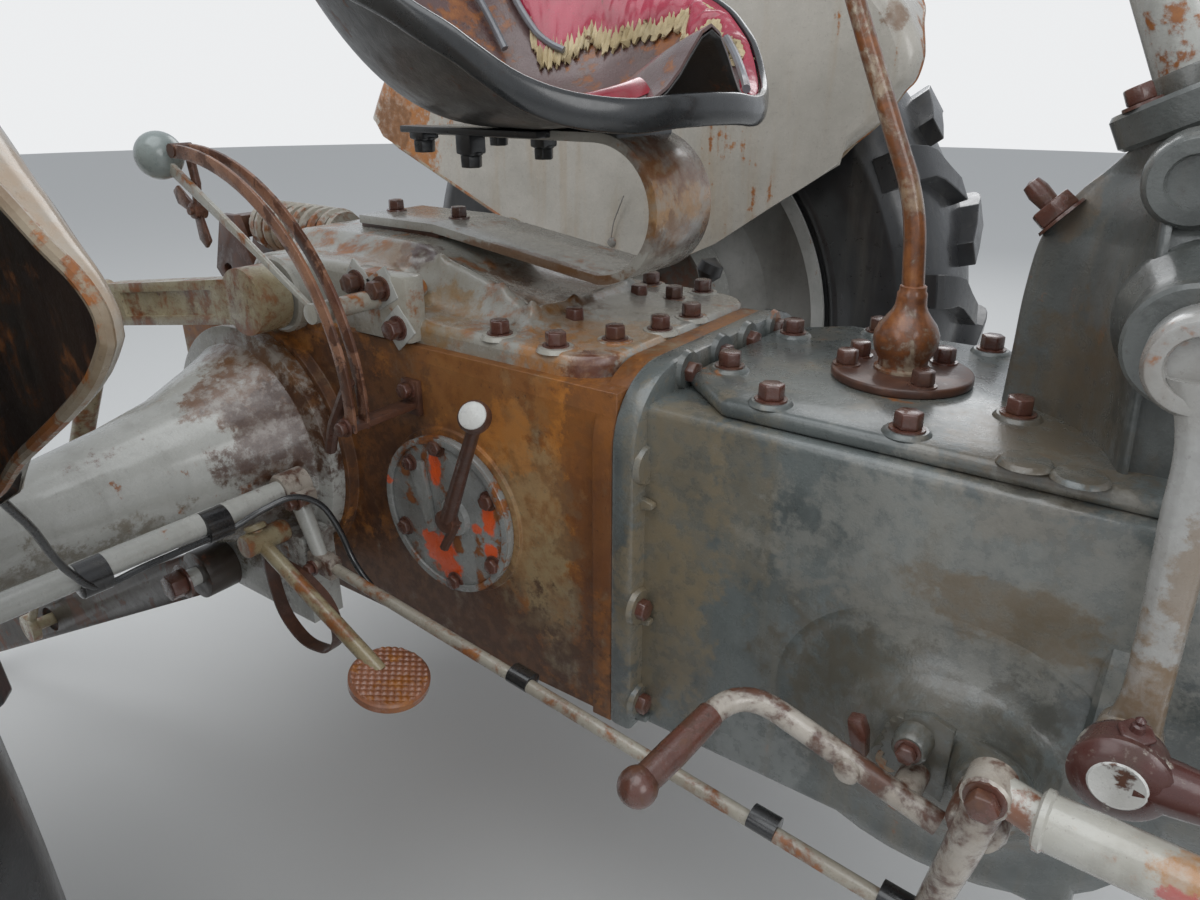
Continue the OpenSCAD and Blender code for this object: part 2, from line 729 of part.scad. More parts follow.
spring_x0 = -1092;
spring_x1 = -1262;
coils = 8;
module draft_spring() {
    pitch = (spring_x0 - spring_x1 - 20) / coils;
    color("#a08a72") {
        cyl_x(spring_x1 - 30, spring_x0, 215, 12);
        translate([spring_x1 + 10, 0, 215]) rotate([0, 90, 0]) rotate_extrude() polygon(concat(
            [[0, 0]],
            [for (i = [0 : coils - 1])
                each [[22, i * pitch], [31, (i + 0.3) * pitch], [31, (i + 0.7) * pitch]]],
            [[22, coils * pitch], [0, coils * pitch]]
        ));
    }
}

top_hole_x = -1322;
top_hole_z = 150;
top_hole_r = 9.7;
module top_link_rocker() {
    color("#7d4a32")
    difference() {
        union() {
            for (s = [-1, 1]) side_plate([
                [centre_back, 66], [centre_back, 118], [-1290, 228], [-1322, 228], [-1352, 150], [-1290, 76]
            ], s < 0 ? -34 : 22, s < 0 ? -22 : 34);
            block([-1316, -23, 196], [-1292, 23, 226]);
        }
        cyl_y(top_hole_x, top_hole_z, -40, 40, top_hole_r);
    }
}

// Three-point linkage

arm_tip = [
    lift_x - lift_arm_l * cos(lift_arm_drop), lift_arm_y, lift_z - lift_arm_l * sin(lift_arm_drop)
];
arm_pin_r = 10;
arm_root_y = 202;
arm_bar_l = lift_arm_l - 22;
arm_splay = atan((lift_arm_y - arm_root_y) / lift_arm_l);
module lift_arms() {
    color("#9b8468")
    difference() {
        union() {
            cyl_y(lift_x, lift_z, -214, 214, lift_shaft_r);
            for (s = [right, left]) {
                cyl_y(lift_x, lift_z, s > 0 ? 180 : -218, s > 0 ? 218 : -180, 36);
                translate([lift_x, s * arm_root_y, lift_z]) rotate([0, 0, 180 - s * arm_splay])
                    rotate([0, lift_arm_drop, 0]) difference() {
                        translate([20, -11, -24.5]) cube([arm_bar_l - 20, 22, 49]);
                        for (y = [-21, 7]) translate([52, y, -14]) cube([arm_bar_l - 74, 14, 28]);
                    }
                cyl_y(arm_tip.x, arm_tip.z, s * lift_arm_y - 11, s * lift_arm_y + 11, 27);
            }
        }
        for (s = [right, left])
            cyl_y(arm_tip.x, arm_tip.z, s * lift_arm_y - 40, s * lift_arm_y + 40, arm_pin_r);
    }
}

link_dir = [-cos(link_drop), 0, -sin(link_drop)];
function link_point(side, l) = [link_x, side * link_y, link_z] + l * link_dir
    + [0, side * link_spread * l / link_l, 0];
module lower_link(side) {
    front = link_point(side, 0);
    back = link_point(side, link_l);
    eye = link_point(side, rod_pin_l);
    splay = atan(link_spread / link_l);
    color("#4d4640")
    difference() {
        union() {
            cyl_y(front.x, front.z, front.y - 20, front.y + 20, 30);
            cyl_y(back.x, back.z, back.y - 20, back.y + 20, 32);
            translate(front) rotate([0, 0, side > 0 ? 180 - splay : 180 + splay]) rotate([0, link_drop, 0])
                translate([20, -7, -27]) cube([link_l - 40, 14, 54]);
        }
        cyl_y(front.x, front.z, front.y - 30, front.y + 30, link_pin_r + run_clear);
        cyl_y(back.x, back.z, back.y - 30, back.y + 30, link_bore_r);
        cyl_y(eye.x, eye.z, eye.y - 30, eye.y + 30, 20);
    }
}

module lift_rod(side) {
    top = [arm_tip.x, side * lift_arm_y, arm_tip.z];
    low = link_point(side, rod_pin_l);
    d = (low - top) / norm(low - top);
    color("#8f7c66") {
        cyl_y(top.x, top.z, top.y - 24, top.y + 24, arm_pin_r - run_clear);
        for (s = [-1, 1]) {
            cyl_y(top.x, top.z, top.y + (s < 0 ? -24 : 12.5), top.y + (s < 0 ? -12.5 : 24), 18);
            cyl_y(low.x, low.z, low.y + (s < 0 ? -36 : 24), low.y + (s < 0 ? -24 : 36), 22);
            bent_bar([top + [0, s * 19, 0], top + [36 * d.x, s * 19, 36 * d.z], top + 72 * d], 5.5);
            bent_bar([low + [0, s * 30, 0], low + [0, s * 30, 0] - 50 * d, low - 90 * d], 6);
        }
        cyl_y(low.x, low.z, low.y - 36, low.y + 36, 9.5);
        rod(top + 62 * d, low - 82 * d, 14);
    }
}

// Wheels

disc_inset = 80;
hub_face = track_half - disc_inset;
module hub(side) {
    color("#8d8c86")
    translate([axle_x, 0, axle_z]) rotate([side > 0 ? -90 : 90, 0, 0]) {
        translate([0, 0, 500]) cylinder(h = 120, r = axle_r);
        difference() {
            translate([0, 0, brake_y + 12]) cylinder(h = hub_face - brake_y - 12, r = brake_r - 8);
            translate([0, 0, brake_y + 11]) cylinder(h = hub_face - brake_y - 31, r = brake_r - 20);
        }
        translate([0, 0, brake_y + 12]) cylinder(h = hub_face - brake_y + 20, r = 62);
    }
}

// Rim and disc, as radius and distance from the tyre's middle
module rim(side) {
    half = rim_w / 2;
    disc_y = -disc_inset;
    color("#b9b9b5")
    translate([axle_x, 0, axle_z]) rotate([side > 0 ? -90 : 90, 0, 0]) translate([0, 0, track_half])
        rotate_extrude($fn = 96) polygon([
            [rim_r + 18, -half - 6], [rim_r + 18, -half], [rim_r, -half + 6], [rim_r, -50], [rim_r - 24, -34],
            [rim_r - 24, 34], [rim_r, 50], [rim_r, half - 6], [rim_r + 18, half], [rim_r + 18, half + 6],
            [rim_r - 6, half], [rim_r - 6, 54], [rim_r - 30, 38], [rim_r - 30, disc_y + 66],
            [230, disc_y + 50], [150, disc_y + 9], [62.3, disc_y + 9], [62.3, disc_y], [152, disc_y],
            [232, disc_y + 40], [rim_r - 30, disc_y + 56],
            [rim_r - 30, -38], [rim_r - 6, -54], [rim_r - 6, -half]
        ]);
}

// The carcass's outline over half the tyre: radius below the tread and distance from the tyre's middle
// Columns: depth below the lugs' tips, share of the half width
carcass_rows = [[lug_h - 4, 0.0], [lug_h, 0.52], [lug_h + 26, 0.9], [88, 1.0], [138, 1.0]];
tyre_sides = 36;
tyre_half = tyre_w / 2;
carcass_half = concat(
    [for (row = carcass_rows) [tyre_r - row[0], row[1] * tyre_half]],
    [[rim_r + 24, rim_w / 2 - 6], [(rim_r + 0.4) / cos(180 / tyre_sides), rim_w / 2 - 9]]
);
carcass = concat(
    [for (i = [len(carcass_half) - 1 : -1 : 1]) [carcass_half[i][0], -carcass_half[i][1]]], carcass_half
);
lug_pitch = 360 / lugs;
// A lug seen from outside: way round the tyre and distance from its middle
lug_plan = [[-24, -9], [15, -9], [68, 62], [84, 134], [84, 150], [30, 150], [26, 76]];
lug_base = tyre_r - 84;
module carcass_ring() {
    rings = len(carcass);
    polyhedron(
        points = [for (k = [0 : tyre_sides - 1]) let (a = k * 360 / tyre_sides) for (p = carcass)
            [p[0] * cos(a), p[0] * sin(a), p[1]]],
        faces = [for (k = [0 : tyre_sides - 1]) for (j = [0 : rings - 1])
            let (n = (k + 1) % tyre_sides, m = (j + 1) % rings)
            [k * rings + j, k * rings + m, n * rings + m, n * rings + j]]
    );
}
module lug(up) {
    intersection() {
        rotate([90, 0, 90]) linear_extrude(tyre_r) polygon([for (p = lug_plan) [p[0], up * p[1]]]);
        rotate([90, 0, 0]) translate([0, 0, -120]) linear_extrude(240) polygon([
            [lug_base, -up * 10], [tyre_r - 0.5, -up * 10], [tyre_r - 5, up * tyre_half * 0.6],
            [tyre_r - 18, up * tyre_half * 0.93], [tyre_r - 56, up * tyre_half],
            [lug_base, up * (tyre_half - 0.4)]
        ]);
    }
}
module tyre(side) {
    color("#232325")
    translate([axle_x, side * track_half, axle_z]) rotate([90, 0, 0]) {
        carcass_ring();
        for (i = [0 : lugs - 1], up = [-1, 1])
            rotate([0, 0, (i + up * 0.25) * lug_pitch]) lug(up);
    }
}

gearbox_housing();
gearbox_cover();
drive_shafts();
gear_lever_plate();
gear_lever();
steering_box();
steering_column();
steering_wheel();
drop_arm(right);  // drop_arm_right
drop_arm(left);  // drop_arm_left
drag_link_end(right);  // drag_link_end_right
drag_link_end(left);  // drag_link_end_left
centre_housing();
lift_cover();
side_covers();
side_levers();
axle_housing(right);  // axle_housing_right
axle_housing(left);  // axle_housing_left
brake_back_plates();
brake_cross_shafts();
brake_rods();
pedals();
parking_brake_lever();
diff_lock_pedal();
seat_spring();
seat_pan();
seat_cushion();
wing(right);  // wing_right
wing(left);  // wing_left
lamp_cable();
quadrant();
lift_control_lever();
draft_spring();
top_link_rocker();
lift_arms();
lift_rod(right);  // lift_rod_right
lift_rod(left);  // lift_rod_left
lower_link(right);  // lower_link_right
lower_link(left);  // lower_link_left
hub(right);  // hub_right
rim(right);  // rim_right
tyre(right);  // tyre_right
hub(left);  // hub_left
rim(left);  // rim_left
tyre(left);  // tyre_left
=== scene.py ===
import json
import math

import bpy
from mathutils import Matrix, Quaternion, Vector

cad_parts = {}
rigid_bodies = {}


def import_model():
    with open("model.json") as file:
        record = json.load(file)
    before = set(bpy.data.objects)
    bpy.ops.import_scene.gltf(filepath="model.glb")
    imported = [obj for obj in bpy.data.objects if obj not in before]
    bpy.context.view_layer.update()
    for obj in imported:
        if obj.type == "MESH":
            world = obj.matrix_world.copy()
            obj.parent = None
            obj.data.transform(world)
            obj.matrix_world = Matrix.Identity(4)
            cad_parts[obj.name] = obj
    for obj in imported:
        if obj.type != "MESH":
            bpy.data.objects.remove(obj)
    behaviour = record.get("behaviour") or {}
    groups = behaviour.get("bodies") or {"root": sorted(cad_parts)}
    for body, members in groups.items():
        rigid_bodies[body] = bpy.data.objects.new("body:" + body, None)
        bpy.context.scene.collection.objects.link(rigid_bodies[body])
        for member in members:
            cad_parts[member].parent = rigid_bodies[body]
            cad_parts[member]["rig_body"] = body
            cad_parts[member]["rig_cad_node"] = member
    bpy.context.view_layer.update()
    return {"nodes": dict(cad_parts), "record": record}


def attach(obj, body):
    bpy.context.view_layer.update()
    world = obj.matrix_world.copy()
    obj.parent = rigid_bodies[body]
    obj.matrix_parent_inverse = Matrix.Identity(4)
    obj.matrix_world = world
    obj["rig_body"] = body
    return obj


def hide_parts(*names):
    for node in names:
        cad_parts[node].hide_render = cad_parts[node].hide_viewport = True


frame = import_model()
nodes = frame["nodes"]


# Camera at the photograph's place: beside the gearbox, looking back and down at the lift cover
def place_camera():
    bpy.ops.object.camera_add(location=(-0.166, -0.734, 0.405))
    camera = bpy.context.object
    camera.name = "view_camera"
    turn, down = math.radians(35.7), math.radians(23.3)
    look = Vector((-math.sin(turn) * math.cos(down), math.cos(turn) * math.cos(down), -math.sin(down)))
    camera.rotation_euler = look.to_track_quat("-Z", "Y").to_euler()
    camera.data.lens = 26.1
    camera.data.sensor_width = 36
    camera.data.clip_start = 0.02
    camera.data.clip_end = 60
    bpy.context.scene.camera = camera


place_camera()

MM = 0.001
# Points nearer than this, in metres, are one
WELD = 0.00001
FLOOR_Z = -0.595
right, left = -1, 1
SIDES = ((right, "right"), (left, "left"))


def area_lamp(name, at, aim, size, power, colour=(1, 1, 1)):
    bpy.ops.object.light_add(type="AREA", location=at)
    lamp = bpy.context.object
    lamp.name = name
    lamp.data.shape = "DISK"
    lamp.data.size = size
    lamp.data.energy = power
    lamp.data.color = colour
    lamp.rotation_euler = (Vector(aim) - Vector(at)).to_track_quat("-Z", "Y").to_euler()


def make_stage():
    bpy.context.scene.view_settings.view_transform = "Standard"
    world = bpy.data.worlds.new("studio")
    bpy.context.scene.world = world
    world.use_nodes = True
    tree = world.node_tree
    tree.nodes.clear()
    out = tree.nodes.new("ShaderNodeOutputWorld")
    mix = tree.nodes.new("ShaderNodeMixShader")
    path = tree.nodes.new("ShaderNodeLightPath")
    soft = tree.nodes.new("ShaderNodeBackground")
    soft.inputs["Color"].default_value = (0.86, 0.9, 0.95, 1)
    soft.inputs["Strength"].default_value = 0.62
    seen = tree.nodes.new("ShaderNodeBackground")
    seen.inputs["Color"].default_value = (0.84, 0.85, 0.86, 1)
    seen.inputs["Strength"].default_value = 1.0
    tree.links.new(path.outputs["Is Camera Ray"], mix.inputs[0])
    tree.links.new(soft.outputs[0], mix.inputs[1])
    tree.links.new(seen.outputs[0], mix.inputs[2])
    tree.links.new(mix.outputs[0], out.inputs["Surface"])
    bpy.ops.mesh.primitive_circle_add(vertices=64, radius=14, fill_type="NGON", location=(-0.9, 0, FLOOR_Z))
    floor = bpy.context.object
    floor.name = "floor"
    pale = bpy.data.materials.new("pale_floor")
    pale.use_nodes = True
    shader = pale.node_tree.nodes["Principled BSDF"]
    shader.inputs["Base Color"].default_value = (0.62, 0.62, 0.61, 1)
    shader.inputs["Roughness"].default_value = 0.85
    floor.data.materials.append(pale)
    area_lamp("sky_lamp", (-0.6, -1.2, 3.4), (-0.7, 0, 0), 3.6, 62, (0.95, 0.98, 1))
    area_lamp("front_lamp", (2.6, -1.6, 1.7), (-0.5, 0, 0.1), 2.2, 30)
    area_lamp("side_lamp", (-2.0, -3.2, 1.5), (-0.8, 0, 0), 2.6, 26)
    area_lamp("back_lamp", (-1.8, 3.4, 2.2), (-0.8, 0, 0.2), 2.6, 34)


make_stage()


# Materials: every finish is worked out from the object's own coordinates
BUMP_DEPTH = 0.0018
# Radius in mm below which a stain is one crisp fleck
SMALL_STAIN = 26


class Finish:
    """A material that is put together from masks and colours."""

    def __init__(self, name, wet):
        self.material = bpy.data.materials.new(name)
        self.material.use_nodes = True
        self.shader = self.material.node_tree.nodes["Principled BSDF"]
        self.place = self.node("TexCoord").outputs["Object"]
        if wet:
            self.shader.inputs["Coat Weight"].default_value = wet
            self.shader.inputs["Coat Roughness"].default_value = 0.16

    def node(self, kind):
        return self.material.node_tree.nodes.new("ShaderNode" + kind)

    def join(self, output, socket):
        self.material.node_tree.links.new(output, socket)

    def moved(self, stretch, shift):
        """The object's coordinates, stretched and then shifted."""
        mapping = self.node("Mapping")
        mapping.inputs["Scale"].default_value = stretch
        mapping.inputs["Location"].default_value = shift
        self.join(self.place, mapping.inputs["Vector"])
        return mapping.outputs[0]

    def noise(self, scale, detail, rough, stretch=(1, 1, 1), shift=(0, 0, 0), distort=0.0):
        place = self.moved(stretch, shift)
        tex = self.node("TexNoise")
        tex.inputs["Scale"].default_value = scale
        tex.inputs["Detail"].default_value = detail
        tex.inputs["Roughness"].default_value = rough
        tex.inputs["Distortion"].default_value = distort
        self.join(place, tex.inputs["Vector"])
        return tex.outputs["Fac"]

    def spot(self, at, radius, ragged, stretch, grain):
        """1 near a place, in mm, and 0 past the radius, with a ragged edge."""
        length = self.node("VectorMath")
        length.operation = "LENGTH"
        self.join(self.moved(stretch, [-MM * a * b for a, b in zip(at, stretch)]), length.inputs[0])
        radius *= MM
        ragged_edge = self.times(self.add(self.noise(grain, 9, 0.72), -0.5), -3.4 * ragged * radius)
        value = self.math("SUBTRACT", self.add(radius, ragged_edge), length.outputs["Value"])
        return self.spread(value, 0, radius * 0.3)

    def spread(self, value, low, high, to_low=0.0, to_high=1.0):
        """A value's range from low to high, passed smoothly to another range."""
        node = self.node("MapRange")
        node.interpolation_type = "SMOOTHSTEP"
        for socket, number in zip(("From Min", "From Max", "To Min", "To Max"), (low, high, to_low, to_high)):
            node.inputs[socket].default_value = number
        self.join(value, node.inputs["Value"])
        return node.outputs["Result"]

    def fill(self, pairs):
        """Gives each socket its number or colour, or links it."""
        for value, socket in pairs:
            if isinstance(value, (int, float)):
                socket.default_value = value
            elif isinstance(value, tuple):
                socket.default_value = (*value, 1)
            else:
                self.join(value, socket)

    def math(self, operation, a, b, clamp=False):
        node = self.node("Math")
        node.operation = operation
        node.use_clamp = clamp
        self.fill(((a, node.inputs[0]), (b, node.inputs[1])))
        return node.outputs[0]

    def add(self, a, b, clamp=False):
        return self.math("ADD", a, b, clamp)

    def times(self, a, b):
        return self.math("MULTIPLY", a, b)

    def mix(self, fac, a, b):
        node = self.node("Mix")
        node.data_type = "RGBA"
        self.fill(((fac, node.inputs[0]), (a, node.inputs[6]), (b, node.inputs[7])))
        return node.outputs[2]

    def ramp(self, value, stops):
        node = self.node("ValToRGB")
        band = node.color_ramp
        while len(band.elements) < len(stops):
            band.elements.new(0.5)
        for element, (where, colour) in zip(band.elements, stops):
            element.position = where
            element.color = (*colour, 1)
        self.join(value, node.inputs[0])
        return node.outputs[0]

    def finish(self, colour, rough, height, bump):
        node = self.node("Bump")
        node.inputs["Strength"].default_value = bump
        node.inputs["Distance"].default_value = BUMP_DEPTH
        self.join(height, node.inputs["Height"])
        for output, name in ((colour, "Base Color"), (rough, "Roughness"), (node.outputs[0], "Normal")):
            self.join(output, self.shader.inputs[name])
        return self.material


RUST = [
    (0.0, (0.035, 0.012, 0.006)), (0.4, (0.11, 0.036, 0.012)), (0.62, (0.23, 0.075, 0.018)),
    (1.0, (0.42, 0.17, 0.045))
]
DARK_RUST = [(0.0, (0.022, 0.01, 0.007)), (0.5, (0.07, 0.026, 0.014)), (1.0, (0.17, 0.065, 0.03))]
ORANGE_RUST = [
    (0.0, (0.05, 0.016, 0.005)), (0.35, (0.16, 0.048, 0.01)), (0.65, (0.3, 0.1, 0.018)),
    (1.0, (0.48, 0.2, 0.04))
]


def weathered(
    name, paint, shadow_paint, rust=RUST, amount=0.5, patch=9.0, streak=0.3, wet=0.2, rough=0.42, bump=0.35,
    dirt=(0.1, 0.085, 0.06), dirt_share=0.25, soft=1.0, speckle=0.25, stains_and_shade=()
):
    """Old paint or bare casting, with rust in patches, thin runs down from them, and dirt.

    Stains and patches of painted shade are rows of a place in mm, a radius in mm, a colour, how strong it is,
    and how it is stretched."""
    f = Finish(name, wet)
    fine = f.noise(70, 5, 0.65)
    grain = f.noise(420, 3, 0.7)
    patches = f.noise(patch, 9, 0.68, shift=(3.1, 1.7, 0.4), distort=0.4)
    runs = f.noise(26, 4, 0.6, stretch=(1, 1, 0.09))
    mask = f.add(f.times(patches, 0.72), f.times(fine, 0.28))
    mask = f.add(mask, f.times(f.add(runs, -0.5), streak))
    edge = 0.5 + (0.5 - amount) * 0.36
    mask = f.spread(mask, edge - 0.025 * soft, edge + 0.035 * soft)
    base = f.mix(f.spread(f.noise(14, 7, 0.62, shift=(0, 4, 2)), 0.35, 0.7), paint, shadow_paint)
    base = f.mix(f.times(f.spread(runs, 0.48, 0.72), dirt_share), base, dirt)
    base = f.mix(f.times(f.spread(fine, 0.5, 0.75), 0.22), base, tuple(0.6 * c for c in shadow_paint))
    dots = f.spread(f.noise(190, 4, 0.75, shift=(2, 0, 5)), 0.6, 0.68)
    rusty = f.ramp(f.add(f.times(patches, 0.5), f.times(fine, 0.5)), [(0.25 + 0.5 * w, c) for w, c in rust])
    colour = f.mix(f.times(dots, speckle), f.mix(mask, base, rusty), rust[0][1])
    for place, radius, tint, strength, stretch in stains_and_shade:
        small = radius < SMALL_STAIN
        ragged, spot_grain = (0.5, 85) if small else (0.75, 30)
        shape = f.times(f.spot(place, radius, ragged, stretch, spot_grain), strength)
        if not small:
            shape = f.times(shape, f.spread(fine, 0.36, 0.6, 0.45, 1.0))
        colour = f.mix(shape, colour, tint)
    roughness = f.add(rough, f.times(mask, 0.22))
    roughness = f.add(roughness, f.times(f.add(fine, -0.5), 0.5), clamp=True)
    height = f.add(f.times(grain, 0.4), f.times(fine, 0.7))
    return f.finish(colour, roughness, f.add(height, f.times(mask, 0.25)), bump)


WALL_RUST = [
    (0.0, (0.035, 0.011, 0.004)), (0.3, (0.13, 0.042, 0.009)), (0.55, (0.26, 0.095, 0.018)),
    (0.8, (0.4, 0.17, 0.035)), (1.0, (0.52, 0.27, 0.08))
]
ROUND, TALL, LONG = (1, 1, 1), (1, 1, 0.4), (0.4, 1, 1)
TAN, GRIME, BROWN = (0.23, 0.18, 0.11), (0.085, 0.072, 0.05), (0.16, 0.07, 0.022)
# Dark brown is a stain on the pale paint and painted shade on the orange casting's wall
DARK_BROWN_STAIN_AND_SHADE, DARK_WET = (0.062, 0.023, 0.009), (0.05, 0.055, 0.052)
VIVID, OLIVE = (0.82, 0.1, 0.008), (0.3, 0.235, 0.125)
ORANGE = (0.36, 0.13, 0.025)
materials = {
    "wet_casting": weathered(
        "wet_grey_casting", (0.13, 0.145, 0.14), (0.075, 0.085, 0.082), amount=0.06, patch=7, streak=0.5,
        wet=0.6, rough=0.3, bump=0.42, dirt=(0.2, 0.16, 0.105), dirt_share=0.45,
        stains_and_shade=[
            ((-275, -165, -40), 135, GRIME, 0.8, ROUND), ((-215, -150, 62), 46, TAN, 0.6, ROUND),
            ((-500, -152, 60), 60, TAN, 0.55, TALL), ((-445, -152, 80), 40, TAN, 0.4, TALL),
            ((-150, -152, 60), 120, DARK_WET, 0.6, ROUND),
            ((-240, -110, 166), 75, (0.12, 0.092, 0.06), 0.8, ROUND),
            ((-250, -60, 166), 60, (0.1, 0.08, 0.055), 0.7, ROUND),
            ((-545, -165, -60), 60, DARK_WET, 0.5, TALL), ((-512, -152, -40), 55, TAN, 0.75, TALL),
            ((-408, -152, -160), 50, (0.3, 0.31, 0.3), 0.5, ROUND),
            ((-235, -152, 82), 85, (0.23, 0.225, 0.2), 0.65, LONG),
            ((-230, -152, 62), 30, (0.12, 0.085, 0.045), 0.8, LONG)
        ]
    ),
    "rusty_casting": weathered(
        "orange_rusty_casting", (0.36, 0.29, 0.18), (0.26, 0.19, 0.1), rust=WALL_RUST, amount=0.85, patch=9,
        wet=0.25, rough=0.36, bump=0.35, soft=3, speckle=0.8,
        stains_and_shade=[
            ((-660, -161, -5), 62, OLIVE, 0.6, TALL), ((-640, -161, -70), 42, OLIVE, 0.5, TALL),
            # The dark brown patch at x -900 is painted shade on the wall behind the side cover, under the
            # lift cover
            ((-900, -161, 40), 140, DARK_BROWN_STAIN_AND_SHADE, 0.95, ROUND),
            ((-600, -161, 120), 60, (0.46, 0.17, 0.025), 0.7, ROUND),
            ((-575, -160, 60), 60, (0.1, 0.032, 0.012), 0.7, TALL),
            ((-740, -161, 125), 60, (0.17, 0.07, 0.02), 0.6, LONG),
            ((-800, -161, -150), 105, DARK_BROWN_STAIN_AND_SHADE, 0.9, LONG),
            ((-690, -161, 90), 45, (0.46, 0.17, 0.025), 0.6, ROUND)
        ]
    ),
    "grey_paint": weathered(
        "pale_grey_paint", (0.47, 0.47, 0.44), (0.42, 0.42, 0.39), amount=0.2, patch=15, wet=0.55, rough=0.25,
        speckle=0.15,
        stains_and_shade=[
            ((-990, -190, 90), 110, (0.15, 0.065, 0.022), 1.0, ROUND),
            ((-985, -200, 20), 85, DARK_BROWN_STAIN_AND_SHADE, 0.95, ROUND), ((-1000, -215, -90), 80, DARK_BROWN_STAIN_AND_SHADE, 0.8, ROUND),
            ((-1030, -410, 70), 22, (0.13, 0.045, 0.022), 0.9, (1, 0.3, 1)),
            ((-1000, -560, 40), 50, BROWN, 0.6, ROUND),
            ((-1040, -400, -80), 85, (0.15, 0.12, 0.075), 0.85, (1, 0.3, 1)),
            ((-1005, -365, 40), 9, (0.1, 0.03, 0.02), 0.9, ROUND),
            ((-1000, -400, 20), 6, (0.1, 0.03, 0.02), 0.9, ROUND),
            ((-1010, -330, 75), 12, (0.2, 0.11, 0.05), 0.8, (1, 0.5, 1))
        ]
    ),
    "wing_paint": weathered(
        "pale_wing_paint", (0.47, 0.44, 0.39), (0.4, 0.375, 0.33), rust=ORANGE_RUST, amount=0.1, patch=4.5,
        streak=0.7, wet=0.4, rough=0.27, bump=0.1, dirt=(0.36, 0.27, 0.17), dirt_share=0.5,
        stains_and_shade=[
            ((-1570, 545, 290), 100, ORANGE, 1.0, TALL),
            ((-1540, 545, 200), 80, (0.4, 0.15, 0.03), 0.95, TALL),
            ((-1600, 545, 320), 60, BROWN, 0.8, ROUND), ((-600, 545, 480), 26, BROWN, 0.7, ROUND),
            ((-600, -548, 350), 55, (0.4, 0.24, 0.12), 0.5, LONG)
        ]
    ),
    "rusty_paint": weathered(
        "cream_paint_rusted", (0.4, 0.37, 0.31), (0.3, 0.265, 0.21), amount=0.4, patch=24, wet=0.45,
        rough=0.32, soft=1.8
    ),
    "rusty_steel": weathered(
        "brown_rusty_steel", (0.1, 0.045, 0.03), (0.065, 0.03, 0.02), rust=DARK_RUST, amount=0.7, patch=22,
        wet=0.5, rough=0.36
    ),
    "dark_steel": weathered(
        "dark_oily_steel", (0.04, 0.027, 0.019), (0.024, 0.016, 0.012), rust=DARK_RUST, amount=0.42, patch=20,
        wet=0.35, rough=0.42
    ),
    "bare_steel": weathered(
        "dull_oiled_steel", (0.26, 0.25, 0.23), (0.17, 0.16, 0.15), amount=0.3, patch=14, wet=0.4, rough=0.32
    ),
    "black_paint": weathered(
        "satin_black_paint", (0.022, 0.024, 0.027), (0.014, 0.015, 0.017), rust=DARK_RUST, amount=0.16,
        patch=14, wet=0.35, rough=0.33, bump=0.12, dirt=(0.05, 0.05, 0.048)
    ),
    "black_plastic": weathered(
        "aged_black_plastic", (0.018, 0.018, 0.019), (0.012, 0.012, 0.012), amount=0.02, patch=14, wet=0.2,
        rough=0.4, bump=0.1, dirt=(0.05, 0.048, 0.045)
    ),
    "silver_paint": weathered(
        "pale_rim_paint", (0.46, 0.46, 0.44), (0.34, 0.34, 0.32), amount=0.18, patch=8, wet=0.3, rough=0.35,
        bump=0.2
    ),
    "red_vinyl": weathered(
        "torn_red_vinyl", (0.42, 0.022, 0.06), (0.3, 0.012, 0.035), rust=DARK_RUST, amount=0.12, patch=12,
        wet=0.5, rough=0.27, bump=0.2
    ),
    "tyre_rubber": weathered(
        "wet_tyre_rubber", (0.03, 0.031, 0.033), (0.02, 0.02, 0.021), amount=0.0, patch=5, wet=0.45,
        rough=0.34, bump=0.25, dirt=(0.085, 0.08, 0.07), dirt_share=0.55
    )
}
